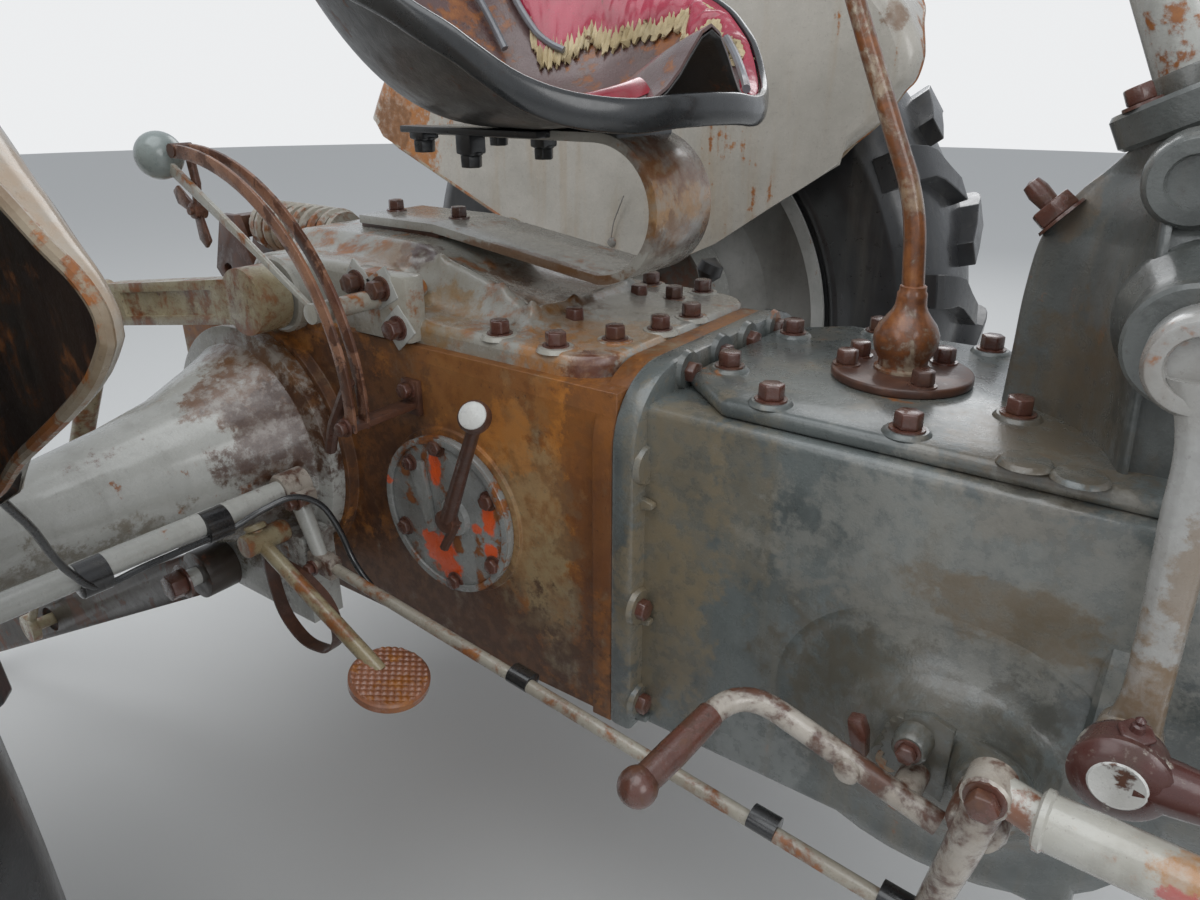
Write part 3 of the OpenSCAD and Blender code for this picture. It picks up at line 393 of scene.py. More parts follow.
# Finishes of single pieces, beside the slots' own
materials.update({
    "lever_rust": weathered(
        "glossy_orange_rust", (0.42, 0.35, 0.26), (0.3, 0.18, 0.1), amount=0.62, patch=26, wet=0.75,
        rough=0.22, bump=0.25, soft=1.8
    ),
    "bolt_rust": weathered(
        "red_brown_bolt_rust", (0.125, 0.047, 0.032), (0.07, 0.026, 0.018), rust=DARK_RUST, amount=0.45,
        patch=60, wet=0.6, rough=0.28
    ),
    "pan_rust": weathered(
        "brown_rusted_pan", (0.13, 0.075, 0.07), (0.09, 0.045, 0.04), amount=0.35, patch=10, wet=0.5,
        rough=0.3, bump=0.5
    ),
    "strip_rust": weathered(
        "copper_brown_strip", (0.34, 0.17, 0.1), (0.12, 0.05, 0.035), rust=DARK_RUST, amount=0.42, patch=30,
        streak=0.6, wet=0.55, rough=0.28
    ),
    "rusty_grey": weathered(
        "grey_paint_rusted", (0.46, 0.45, 0.4), (0.36, 0.33, 0.27), rust=ORANGE_RUST, amount=0.4, patch=15,
        wet=0.55, rough=0.26, soft=1.6
    ),
    "cover_grey": weathered(
        "grey_cover_paint", (0.3, 0.31, 0.3), (0.2, 0.2, 0.19), amount=0.34, patch=20, wet=0.55, rough=0.27,
        stains_and_shade=[
            ((-777, -177, -60), 25, VIVID, 1.0, ROUND), ((-764, -177, -78), 19, VIVID, 1.0, ROUND),
            ((-794, -177, -48), 12, VIVID, 1.0, ROUND), ((-776, -177, 38), 10, VIVID, 0.95, TALL),
            ((-749, -185, -16), 13, VIVID, 0.8, ROUND), ((-704, -177, 0), 10, VIVID, 0.9, TALL),
            ((-703, -177, -38), 11, VIVID, 0.9, ROUND), ((-722, -177, -18), 8, VIVID, 0.8, ROUND),
            ((-846, -177, 6), 6, VIVID, 0.8, ROUND), ((-757, -177, -80), 7, VIVID, 0.9, ROUND)
        ]
    ),
    "chipped_white": weathered(
        "chipped_white_paint", (0.66, 0.66, 0.64), (0.55, 0.54, 0.51), rust=DARK_RUST, amount=0.26, patch=34,
        wet=0.4, rough=0.3
    ),
    "knob_grey": weathered(
        "grey_green_knob", (0.27, 0.31, 0.3), (0.22, 0.25, 0.24), amount=0.0, patch=20, wet=0.5, rough=0.3,
        bump=0.08
    ),
    "underseal": weathered(
        "black_underseal", (0.02, 0.019, 0.018), (0.012, 0.011, 0.011), rust=DARK_RUST, amount=0.25, patch=16,
        wet=0.3, rough=0.4, bump=0.6
    ),
    "band_black": weathered(
        "wet_black_rubber_band", (0.022, 0.024, 0.026), (0.016, 0.017, 0.018), amount=0.0, patch=12, wet=0.75,
        rough=0.28, bump=0.05, dirt=(0.05, 0.05, 0.048)
    ),
    "foam": weathered(
        "old_foam", (0.62, 0.52, 0.33), (0.42, 0.33, 0.18), rust=DARK_RUST, amount=0.2, patch=40, rough=0.7,
        wet=0.0, bump=0.9
    ),
    "piping_grey": weathered(
        "grey_piping", (0.2, 0.21, 0.23), (0.13, 0.135, 0.15), amount=0.05, patch=20, wet=0.5, rough=0.35,
        bump=0.1
    ),
    "crimson_strip": weathered(
        "crimson_strip_vinyl", (0.36, 0.01, 0.03), (0.22, 0.008, 0.02), amount=0.02, patch=20, wet=0.7,
        rough=0.22, bump=0.08
    ),
    "pedestal_grey": weathered(
        "wet_pedestal_casting", (0.12, 0.128, 0.122), (0.075, 0.08, 0.076), amount=0.08, patch=7, streak=0.4,
        wet=0.55, rough=0.32, bump=0.5, dirt=(0.16, 0.125, 0.085), dirt_share=0.6,
        stains_and_shade=[
            ((-245, -70, 190), 75, (0.11, 0.085, 0.055), 0.85, ROUND),
            ((-150, -110, 230), 70, DARK_WET, 0.8, TALL),
            ((-265, 0, 318), 30, (0.17, 0.12, 0.075), 0.6, ROUND)
        ]
    ),
    "pale_rod": weathered(
        "pale_grey_rod_paint", (0.4, 0.4, 0.39), (0.3, 0.29, 0.27), amount=0.14, patch=26, streak=0.5,
        wet=0.5, rough=0.28, bump=0.2, dirt=(0.16, 0.1, 0.06), dirt_share=0.6, soft=1.6,
        stains_and_shade=[
            ((-150, -205, 45), 30, (0.19, 0.12, 0.06), 0.85, TALL),
            ((-135, -205, 150), 20, (0.2, 0.13, 0.07), 0.6, TALL)
        ]
    ),
    "rusty_rod": weathered(
        "pale_rod_with_rust", (0.42, 0.38, 0.33), (0.3, 0.25, 0.2), rust=DARK_RUST, amount=0.5, patch=30,
        wet=0.6, rough=0.26, soft=2.2
    ),
    "copper_pad": weathered(
        "copper_rust_pad", (0.36, 0.15, 0.08), (0.2, 0.075, 0.04), rust=ORANGE_RUST, amount=0.4, patch=40,
        wet=0.6, rough=0.3
    ),
    "maroon_cap": weathered(
        "dark_maroon_cap", (0.1, 0.036, 0.03), (0.06, 0.02, 0.017),
        rust=[(0.0, (0.34, 0.3, 0.25)), (1.0, (0.5, 0.47, 0.41))], amount=0.24, patch=34, wet=0.5, rough=0.3,
        bump=0.15
    ),
    # Rust over a near-black base colour that is painted shade under the wings
    "wing_underside": weathered(
        "rusty_underside_painted_shade", (0.03, 0.014, 0.008), (0.012, 0.007, 0.005), amount=0.26, patch=7, wet=0.1,
        rough=0.6, bump=0.5, soft=2
    ),
    "edge_rust": weathered(
        "rusted_rolled_edge", (0.34, 0.28, 0.2), (0.18, 0.11, 0.055), rust=ORANGE_RUST, amount=0.5, patch=24,
        wet=0.4, rough=0.36
    ),
    "lift_cover_grey": weathered(
        "lift_cover_cream_grey", (0.4, 0.395, 0.36), (0.3, 0.27, 0.215), rust=ORANGE_RUST, amount=0.3,
        patch=10, wet=0.6, rough=0.25, bump=0.3, soft=2,
        stains_and_shade=[
            ((-752, -20, 192), 78, (0.11, 0.045, 0.014), 1.0, ROUND),
            ((-640, -115, 176), 66, (0.44, 0.19, 0.05), 0.85, ROUND),
            ((-612, -60, 178), 55, (0.42, 0.22, 0.08), 0.7, ROUND),
            ((-600, -140, 168), 30, (0.1, 0.035, 0.03), 0.85, ROUND),
            ((-868, -86, 232), 26, (0.08, 0.035, 0.03), 0.9, ROUND),
            ((-800, -130, 185), 52, (0.3, 0.18, 0.07), 0.75, ROUND),
            ((-900, -110, 225), 42, (0.28, 0.14, 0.05), 0.6, ROUND),
            ((-690, -60, 181), 42, (0.26, 0.13, 0.045), 0.7, ROUND),
            ((-740, 40, 200), 50, (0.2, 0.1, 0.04), 0.6, ROUND)
        ]
    ),
    "spring_paint": weathered(
        "seat_spring_cream", (0.4, 0.39, 0.35), (0.31, 0.29, 0.25), rust=ORANGE_RUST, amount=0.24, patch=14,
        streak=0.5, wet=0.6, rough=0.25, soft=2, speckle=0.4,
        stains_and_shade=[
            ((-600, 0, 300), 42, (0.4, 0.2, 0.06), 0.85, (1, 0.3, 1)),
            ((-600, 0, 340), 40, (0.16, 0.06, 0.025), 0.8, (1, 0.3, 1)),
            ((-604, 0, 265), 26, (0.1, 0.04, 0.02), 0.6, (1, 0.3, 1)),
            ((-760, -50, 232), 14, BROWN, 0.8, (0.1, 1, 1)), ((-680, -50, 218), 14, BROWN, 0.8, (0.2, 1, 1))
        ]
    ),
    # The brake back plates' dark brown is painted shade, over rust
    "brake_rust_and_shade": weathered(
        "rusty_brake_plate_painted_shade", (0.09, 0.07, 0.055), (0.05, 0.035, 0.025), rust=DARK_RUST, amount=0.4, patch=12,
        wet=0.3, rough=0.45, speckle=0.4
    ),
    "arm_rust": weathered(
        "lift_arm_cream_rust", (0.4, 0.35, 0.23), (0.28, 0.21, 0.11), amount=0.46, patch=26, streak=0.5,
        wet=0.5, rough=0.3, soft=2.6, speckle=0.5
    ),
    "pedal_cream": weathered(
        "pedal_cream_paint", (0.45, 0.44, 0.4), (0.39, 0.37, 0.32), rust=ORANGE_RUST, amount=0.16, patch=20,
        streak=0.4, wet=0.6, rough=0.24, bump=0.2, soft=1.8,
        stains_and_shade=[
            ((-190, -276, 0), 22, (0.2, 0.07, 0.03), 0.95, ROUND),
            ((-75, -290, 32), 28, (0.36, 0.16, 0.04), 0.9, LONG),
            ((-120, -270, -6), 25, (0.26, 0.16, 0.07), 0.8, LONG),
            ((-100, -300, 12), 9, (0.42, 0.1, 0.09), 0.9, LONG)
        ]
    ),
    "tape": weathered(
        "black_tape", (0.01, 0.01, 0.011), (0.02, 0.02, 0.021), amount=0.0, wet=0.6, rough=0.25, bump=0.1
    )
})
slot_of = {row["node"]: row["material_slot"] for row in frame["record"]["subparts"]}
for name, node in nodes.items():
    node.data.materials.clear()
    node.data.materials.append(materials[slot_of[name]])


# Modelling helpers. Lengths are in mm; places and steps are vectors in metres, which mm() makes
def mm(*point):
    """A place or a step that is given in mm."""
    return Vector(point) * MM


def only(piece):
    """Leaves just this piece selected and active."""
    bpy.ops.object.select_all(action="DESELECT")
    piece.select_set(True)
    bpy.context.view_layer.objects.active = piece


def apply_all(piece):
    only(piece)
    for modifier in list(piece.modifiers):
        bpy.ops.object.modifier_apply(modifier=modifier.name)


def smooth(piece, angle=35):
    only(piece)
    bpy.ops.object.shade_smooth_by_angle(angle=math.radians(angle))


def settle(piece):
    """Puts the piece's place, turn and size into its mesh."""
    only(piece)
    bpy.ops.object.transform_apply(location=True, rotation=True, scale=True)


def dress(piece, name, slot, body="frame", finish=None):
    """Names a piece, or a list joined into one, and gives it its finish and the body that it rides on.

    The finish is the slot's own if none is named."""
    piece = joined(piece) if isinstance(piece, list) else piece
    piece.name = name
    piece.data.name = name
    piece.data.materials.clear()
    piece.data.materials.append(materials[finish or slot])
    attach(piece, body)
    return piece


def edges_rounded(piece, width, segments=2, angle=30):
    bevel = piece.modifiers.new("edges", "BEVEL")
    bevel.width = MM * width
    bevel.segments = segments
    bevel.limit_method = "ANGLE"
    bevel.angle_limit = math.radians(angle)
    apply_all(piece)
    smooth(piece, 40)
    return piece


def rounded_copy(node, width):
    """A copy of a CAD node with its edges rounded, which stands for the node."""
    only(nodes[node])
    bpy.ops.object.duplicate()
    piece = bpy.context.object
    piece.parent = None
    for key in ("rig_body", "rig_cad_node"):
        if key in piece:
            del piece[key]
    edit_all(piece)
    bpy.ops.mesh.remove_doubles(threshold=2 * WELD)
    bpy.ops.mesh.dissolve_limited(angle_limit=math.radians(2))
    bpy.ops.object.mode_set(mode="OBJECT")
    edges_rounded(piece, width)
    dress(piece, node + "_form", slot_of[node], body_of_node[node], own_finish.get(node))
    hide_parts(node)
    return piece


def start_outline(points, fill="NGON"):
    """A new flat piece whose corners are the given points."""
    bpy.ops.object.select_all(action="DESELECT")
    bpy.ops.mesh.primitive_circle_add(vertices=len(points), fill_type=fill)
    piece = bpy.context.object
    for vertex, point in zip(piece.data.vertices, points):
        vertex.co = point
    return piece


def edit_all(piece):
    only(piece)
    bpy.ops.object.mode_set(mode="EDIT")
    bpy.ops.mesh.select_all(action="SELECT")


def done():
    bpy.ops.mesh.select_all(action="SELECT")
    bpy.ops.mesh.normals_make_consistent(inside=False)
    bpy.ops.object.mode_set(mode="OBJECT")


def plate(points, through, edge=0.0):
    """A plate with the given outline, thickened by a vector, its edges rounded."""
    piece = start_outline(points)
    edit_all(piece)
    bpy.ops.mesh.extrude_region_move(TRANSFORM_OT_translate={"value": through})
    done()
    return edges_rounded(piece, edge) if edge else piece


def side_plate(outline, y, thick, edge=0.0):
    """A plate square to the tractor's side, whose outline is given as (x, z)."""
    return plate([mm(x, y, z) for x, z in outline], mm(0, thick, 0), edge)


def turned(profile, at, axis, steps=32, closed=False):
    """A turned piece: a profile of (distance along the axis, radius), led to the axis at both ends.

    A closed profile is a ring's section, which doesn't reach the axis."""
    if not closed:
        first, last = ([(along, 0)] if radius else [] for along, radius in (profile[0], profile[-1]))
        profile = first + list(profile) + last
    at, axis = Vector(at), Vector(axis).normalized()
    side = axis.orthogonal().normalized()
    piece = start_outline([at + MM * (along * axis + radius * side) for along, radius in profile], "NOTHING")
    if not closed:
        for vertex in piece.data.vertices:
            vertex.select = False
        bpy.ops.object.mode_set(mode="EDIT")
        bpy.ops.mesh.select_mode(type="EDGE")
        bpy.ops.object.mode_set(mode="OBJECT")
        for link in piece.data.edges:
            link.select = {0, len(profile) - 1} == set(link.vertices)
        bpy.ops.object.mode_set(mode="EDIT")
        bpy.ops.mesh.delete(type="EDGE")
        bpy.ops.mesh.select_mode(type="VERT")
        bpy.ops.object.mode_set(mode="OBJECT")
    edit_all(piece)
    bpy.ops.mesh.spin(steps=steps, angle=2 * math.pi, center=at, axis=axis)
    bpy.ops.mesh.select_all(action="SELECT")
    bpy.ops.mesh.remove_doubles(threshold=WELD)
    done()
    smooth(piece)
    return piece


def rounded(points, bend, steps=5):
    """The same line of points with its corners rounded."""
    points = [Vector(p) for p in points]
    line = [points[0]]
    for before, here, after in zip(points, points[1:], points[2:]):
        reach = min(MM * bend, (here - before).length * 0.45, (after - here).length * 0.45)
        a, b = here + (before - here).normalized() * reach, here + (after - here).normalized() * reach
        for i in range(steps + 1):
            t = i / steps
            line.append((1 - t) ** 2 * a + 2 * t * (1 - t) * here + t * t * b)
    return line + [points[-1]]


def bar(points, radius, radii=None, resolution=3):
    """A round bar along a line of points; radii gives its thickness at each point, as shares of radius."""
    bpy.ops.object.select_all(action="DESELECT")
    bpy.ops.curve.primitive_nurbs_path_add()
    curve = bpy.context.object
    curve.data.splines.clear()
    spline = curve.data.splines.new("POLY")
    spline.points.add(len(points) - 1)
    for i, point in enumerate(points):
        spline.points[i].co = (*point, 1)
        spline.points[i].radius = radii[i] if radii else 1
    curve.data.dimensions = "3D"
    curve.data.bevel_depth = MM * radius
    curve.data.bevel_resolution = resolution
    curve.data.use_fill_caps = True
    only(curve)
    bpy.ops.object.convert(target="MESH")
    piece = bpy.context.object
    edit_all(piece)
    bpy.ops.mesh.remove_doubles(threshold=WELD)
    done()
    smooth(piece, 40)
    return piece


def ball(at, radius, segments=24):
    bpy.ops.object.select_all(action="DESELECT")
    bpy.ops.mesh.primitive_uv_sphere_add(
        segments=segments, ring_count=segments // 2, radius=MM * radius, location=at
    )
    piece = bpy.context.object
    settle(piece)
    smooth(piece, 60)
    return piece


def block(corner, other, edge=0.0):
    """A box between two opposite corners."""
    low, high = (Vector([pick(pair) for pair in zip(corner, other)]) for pick in (min, max))
    bpy.ops.object.select_all(action="DESELECT")
    bpy.ops.mesh.primitive_cube_add(size=1, location=(high + low) / 2)
    piece = bpy.context.object
    piece.scale = high - low
    settle(piece)
    return edges_rounded(piece, edge) if edge else piece


def joined(parts):
    """Several pieces made one."""
    bpy.ops.object.select_all(action="DESELECT")
    for part in parts:
        part.select_set(True)
    bpy.context.view_layer.objects.active = parts[0]
    bpy.ops.object.join()
    return bpy.context.object


def stood(piece, at, direction, turn=0.0):
    """Takes a piece made upright at the origin to its place and direction."""
    piece.rotation_mode = "QUATERNION"
    piece.rotation_quaternion = Vector(direction).to_track_quat("Z", "X") @ Quaternion((0, 0, 1), turn)
    piece.location = at
    settle(piece)
    return piece


def sheet(columns, rows, place, thick=0.0, angle=50):
    """A curved sheet: place(u, v) gives its point, with u and v from 0 to 1."""
    bpy.ops.object.select_all(action="DESELECT")
    bpy.ops.mesh.primitive_grid_add(x_subdivisions=columns, y_subdivisions=rows, size=1)
    piece = bpy.context.object
    for vertex in piece.data.vertices:
        vertex.co = place(min(max(vertex.co.x + 0.5, 0), 1), min(max(vertex.co.y + 0.5, 0), 1))
    edit_all(piece)
    bpy.ops.mesh.remove_doubles(threshold=WELD)
    done()
    if thick:
        wall = piece.modifiers.new("wall", "SOLIDIFY")
        wall.thickness = MM * thick
        wall.offset = 0
        wall.use_even_offset = True
        apply_all(piece)
    smooth(piece, angle)
    return piece


def between(rows, value):
    """The second column of the rows where the first is value, passed smoothly from row to row."""
    value = min(max(value, rows[0][0]), rows[-1][0])
    for i in range(len(rows) - 1):
        (x0, y0), (x1, y1) = rows[i], rows[i + 1]
        if value <= x1:
            before, after = rows[max(i - 1, 0)], rows[min(i + 2, len(rows) - 1)]
            t = (value - x0) / (x1 - x0)
            a = (y1 - before[1]) / (x1 - before[0]) * (x1 - x0)
            b = (after[1] - y0) / (after[0] - x0) * (x1 - x0)
            share = 3 * t * t - 2 * t ** 3
            return (1 - share) * y0 + (t ** 3 - 2 * t * t + t) * a + share * y1 + (t ** 3 - t * t) * b
    return rows[-1][1]


def passed(points, t):
    """The place at step t of a row of points, passed smoothly from point to point."""
    return [
        between([(k, point[axis]) for k, point in enumerate(points)], t)
        for axis in range(len(points[0]))
    ]


def eased(value, low, high):
    """0 to 1, with soft ends, as the value goes from low to high."""
    t = min(max((value - low) / (high - low), 0), 1)
    return t * t * (3 - 2 * t)


def lofted(rings, steps=4, angle=40):
    """A form through a row of rings that all have as many points, closed at its ends."""
    count = len(rings[0])
    levels = [
        [Vector(passed([ring[j] for ring in rings], i / steps)) for j in range(count)]
        for i in range((len(rings) - 1) * steps + 1)
    ]
    ends = [[sum(level, Vector()) / count] * count for level in (levels[0], levels[-1])]
    levels = [ends[0]] + levels + [ends[1]]
    last = len(levels) - 1
    return sheet(count, last, lambda u, v: levels[round(v * last)][round(u * count) % count], angle=angle)


def oval(at, along, side, half_side, half_up, power=2.0, count=20):
    """A ring of points round a place, square to along; a power over 2 makes it squarer."""
    along, side = Vector(along).normalized(), Vector(side)
    side = (side - along * side.dot(along)).normalized()
    rise = along.cross(side)
    ring = []
    for k in range(count):
        turn = 2 * math.pi * k / count
        across, out = (
            MM * half * math.copysign(abs(way) ** (2 / power), way)
            for half, way in ((half_side, math.cos(turn)), (half_up, math.sin(turn)))
        )
        ring.append(Vector(at) + side * across + rise * out)
    return ring


def strap(line, across, width, thick):
    """A flat strip along a line of points; across is the direction of its width."""
    across = Vector(across).normalized() * MM * width / 2
    last = len(line) - 1
    return sheet(last, 2, lambda u, v: line[round(u * last)] + across * (2 * v - 1), thick)


def arch(x, half_width, bottom, top, corner):
    """An arch-topped outline square to the x axis, its upper corners rounded."""
    steps = 10
    points = [(-half_width, bottom)]
    for i in range(steps + 1):
        a = math.radians(90 * i / steps)
        points.append((-half_width + corner * (1 - math.cos(a)), top - corner * (1 - math.sin(a))))
    return [mm(x, y, z) for y, z in points + [(-y, z) for y, z in reversed(points)]]


def ring_places(radius):
    """The eight places of a ring of bolts, as pairs, half a step off the first axis."""
    angles = [math.radians(45 * i + 22.5) for i in range(8)]
    return [(radius * math.cos(a), radius * math.sin(a)) for a in angles]


def bolt(at, direction, across, height, washer, turn=0.0):
    """A hexagon head on its washer."""
    bpy.ops.object.select_all(action="DESELECT")
    bpy.ops.mesh.primitive_cylinder_add(
        vertices=6, radius=MM * across / math.sqrt(3), depth=MM * height,
        location=(0, 0, MM * (2 + height / 2))
    )
    head = bpy.context.object
    for corner in head.data.vertices:
        if corner.co.z > 0:
            corner.co.x *= 0.96
            corner.co.y *= 0.96
    settle(head)
    edges_rounded(head, 1.2, 2, 20)
    under = turned([(-0.5, washer), (1.8, washer * 0.97), (2.4, 0)], (0, 0, 0), (0, 0, 1), 16)
    return stood(joined([head, under]), at, direction, turn)


def bolts(name, places, slot="rusty_steel", body="frame"):
    """A group of bolts. Columns: place, direction, width across flats, height."""
    made = []
    for i, (at, direction, across, height) in enumerate(places):
        made.append(bolt(mm(*at), direction, across, height, across * 0.72, 0.9 * i))
    return dress(made, name, slot, body, "bolt_rust")


body_of_node = {n: body for body, names in frame["record"]["behaviour"]["bodies"].items() for n in names}
up, down = (0, 0, 1), (0, 0, -1)
to_right, to_left, forward, backward = (0, -1, 0), (0, 1, 0), (1, 0, 0), (-1, 0, 0)
# Radii of the engine flange's ring of bolts and of the wheel nuts' ring
BELL_BOLTS_R, WHEEL_NUTS_R = 183, 101


def make_gearbox_details():
    cover = [
        (-436, -125), (-328, -124), (-504, 69), (-328, 124), (-436, 125), (-504, -66), (-269, -44),
        (-269, 44), (-245, 136), (-95, -128), (-95, 128)
    ]
    places = [((x, y, 167.5), up, 19, 12) for x, y in cover]
    bolts("cover_bolts", places)
    places += [((-245, -136, 169), up, 17, 5), ((-211, -139, 168), up, 17, 5)]
    bosses = [
        turned([(0, 18.5), (2.2, 17.2), (3.4, 15.5)], mm(x, y, z - 3), up, 24)
        for (x, y, z), _, _, _ in places
    ]
    dress(bosses, "cover_bosses", "wet_casting")
    flange = [
        (-163, -45), (-159, -155), (-90, 164), (28, 165), (163, -45), (159, -155), (90, 164), (-28, 165)
    ]
    bolts("joint_bolts", [((-535.5, y, z), forward, 18, 11) for y, z in flange])
    plug = turned([(0, 8.5), (3.5, 8), (4.5, 0)], mm(-535.5, -155, 95), forward, 24)
    dress(plug, "joint_dowel", "silver_paint")
    pads = [
        turned([(0, 19), (5, 17), (6, 0)], mm(-536, y * 0.985, z), forward, 24)
        for y, z in flange + [(-155, 95), (155, 95)]
    ]
    dress(pads, "joint_pads", "wet_casting")
    drain = turned([(0, 26), (6, 26), (8, 22)], mm(-400, 0, -185), down, 28)
    dress(drain, "drain_boss", "wet_casting")
    bolts("drain_plug", [((-400, 0, -193), down, 24, 14)])
    bolts("bell_bolts", [((-22.5, y, z), backward, 19, 11) for y, z in ring_places(BELL_BOLTS_R)])


def make_gear_lever():
    lever_x = -373
    cup = turned([
        (0, 23.5), (2.5, 23.5), (4, 20.5), (9, 20.5), (16, 24.5), (24, 27), (32, 26.8), (40, 23.5),
        (47, 17.8), (52, 14.5), (56, 12.8), (62, 12.2), (66, 12.2), (68, 11), (72, 10.8), (73, 9.5), (75, 0)
    ], mm(lever_x, 0, 172.5), up, 40)
    line = rounded([mm(lever_x, 0, 240), mm(-380, 0, 309), mm(-449, 0, 459), mm(-495, 0, 570)], 50, 6)
    rod = bar(line, 9.2, [1.0 - 0.25 * i / (len(line) - 1) for i in range(len(line))])
    knob = turned(
        [(0, 11), (8, 18), (20, 21.5), (32, 19), (41, 10), (43, 0)], mm(-489, 0, 552), (-0.31, 0, 0.95), 28
    )
    lever = dress([cup, rod], "gear_lever_rod", "rusty_steel", finish="lever_rust")
    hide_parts("gear_lever")
    dress(knob, "gear_lever_knob", "black_plastic")
    bolts("gear_lever_bolts", [
        ((lever_x + 46 * math.cos(a), 46 * math.sin(a), 172.5), up, 17, 12)
        for a in map(math.radians, (-160, -52, 58, 160))
    ])


def make_lift_cover_details():
    low = [
        (-646, -135), (-715, -134), (-615, -85), (-685, -55), (-690, 70), (-655, 87), (-646, 135),
        (-715, 134), (-600, 30), (-600, -30), (-1060, -120), (-1060, 120), (-830, -138), (-830, 138)
    ]
    bolts("lift_cover_bolts", [((x, y, 178), up, 18, 12) for x, y in low])
    seats = [turned([(0, 19), (4, 16.5), (5.2, 0)], mm(x, y, 174.5), up, 20) for x, y in low]
    dress(seats, "lift_cover_bosses", "grey_paint", finish="rusty_grey")
    tabs = [(-840, -175, 211), (-821, -175, 174), (-877, -175, 213)]
    washers = []
    for i, (x, y, z) in enumerate(tabs):
        tab = block(mm(-17, -17, 0), mm(17, 17, 3), 1)
        washers.append(stood(tab, mm(x, y + 11, z), to_right, 0.5 + 0.2 * i))
    dress(washers, "tab_washers", "grey_paint")
    bolts("tab_bolts", [((x, y + 8, z), to_right, 18, 12) for x, y, z in tabs])
    stub = block(mm(-892, -166, 158), mm(-806, -140, 226), 5)
    dress(stub, "valve_cover", "grey_paint", finish="rusty_grey")


def make_side_cover_details():
    knob_at, knob_way = mm(-685, -200, 117), Vector((0.3, -0.76, 0.57)).normalized()
    face = -175.2
    middle_x, middle_z = -765, -15
    rim = turned(
        [(0, 86), (0, 79.5), (1.2, 79), (3, 79.5), (3.6, 82.8), (3, 86.2)],
        mm(middle_x, face + 0.4, middle_z), to_right, 64, closed=True
    )
    fin = side_plate([(-811, 38), (-789, 42), (-776, -34), (-787, -40)], face + 0.3, -7, 2.2)
    hub = turned(
        [(0, 21), (6, 19), (8, 13.5), (13, 12.5), (14, 0)], mm(middle_x + 14, face, middle_z + 3), to_right,
        28
    )
    dress([rim, fin, hub], "side_cover_rim", "grey_paint", finish="cover_grey")
    screws = [(-770, 61), (-703, 20), (-827, -46), (-757, -91), (-700, -52)]
    bolts(
        "side_cover_screws",
        [((x, face + 0.3, z), to_right, 15, 6) for x, z in screws] + [((-804, -182, 38), to_right, 13, 5)]
    )
    bolts("far_cover_screws", [((x, -face - 0.3, z), to_left, 15, 6) for x, z in screws + [(-816, 33)]])
    lever = bar([mm(-748, -188, -8), mm(-716, -196, 56), mm(-684, -204, 119)], 7.8, [1.1, 0.92, 0.8], 3)
    link = bar([mm(-738, -185, -9), mm(-759, -186, -46)], 5.2, resolution=2)
    clip = turned([(0, 13), (14, 12), (16, 0)], mm(-750, face - 4, -11), to_right, 20)
    ring = turned([(0, 0), (1, 7), (5, 12.5), (9, 15.5), (15, 15.5), (18, 13.5)], knob_at, knob_way, 28)
    shaft = dress([lever, link, clip, ring], "response_lever_rod", "rusty_steel")
    disc = turned([(0, 13.2), (1.2, 12.8), (2.2, 11), (2.4, 0)], knob_at + 17.8 * MM * knob_way, knob_way, 28)
    dress(disc, "response_lever_knob", "rusty_steel", finish="chipped_white")
    far_lever = bar(rounded([mm(-765, 178, -15), mm(-735, 215, 75), mm(-695, 235, 175)], 30), 8)
    far_knob = turned([(0, 8), (12, 16.5), (24, 15), (32, 0)], mm(-698, 233, 166), (0.3, 0.2, 0.9), 24)
    far_boss = turned([(0, 15.5), (20, 14.5), (24, 0)], mm(-765, 175, -15), to_left, 24)
    dress([far_lever, far_boss], "pto_lever_rod", "rusty_steel")
    dress(far_knob, "pto_lever_knob", "black_plastic")
    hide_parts("side_levers")


def make_seat_spring_details():
    bolts("seat_spring_bolts", [((x, 0, 255), up, 17, 11) for x in (-996, -892)])
    packing = block(mm(-1010, -44, 238), mm(-884, 44, 246.5), 2)
    dress(packing, "seat_spring_packing", "rusty_steel")


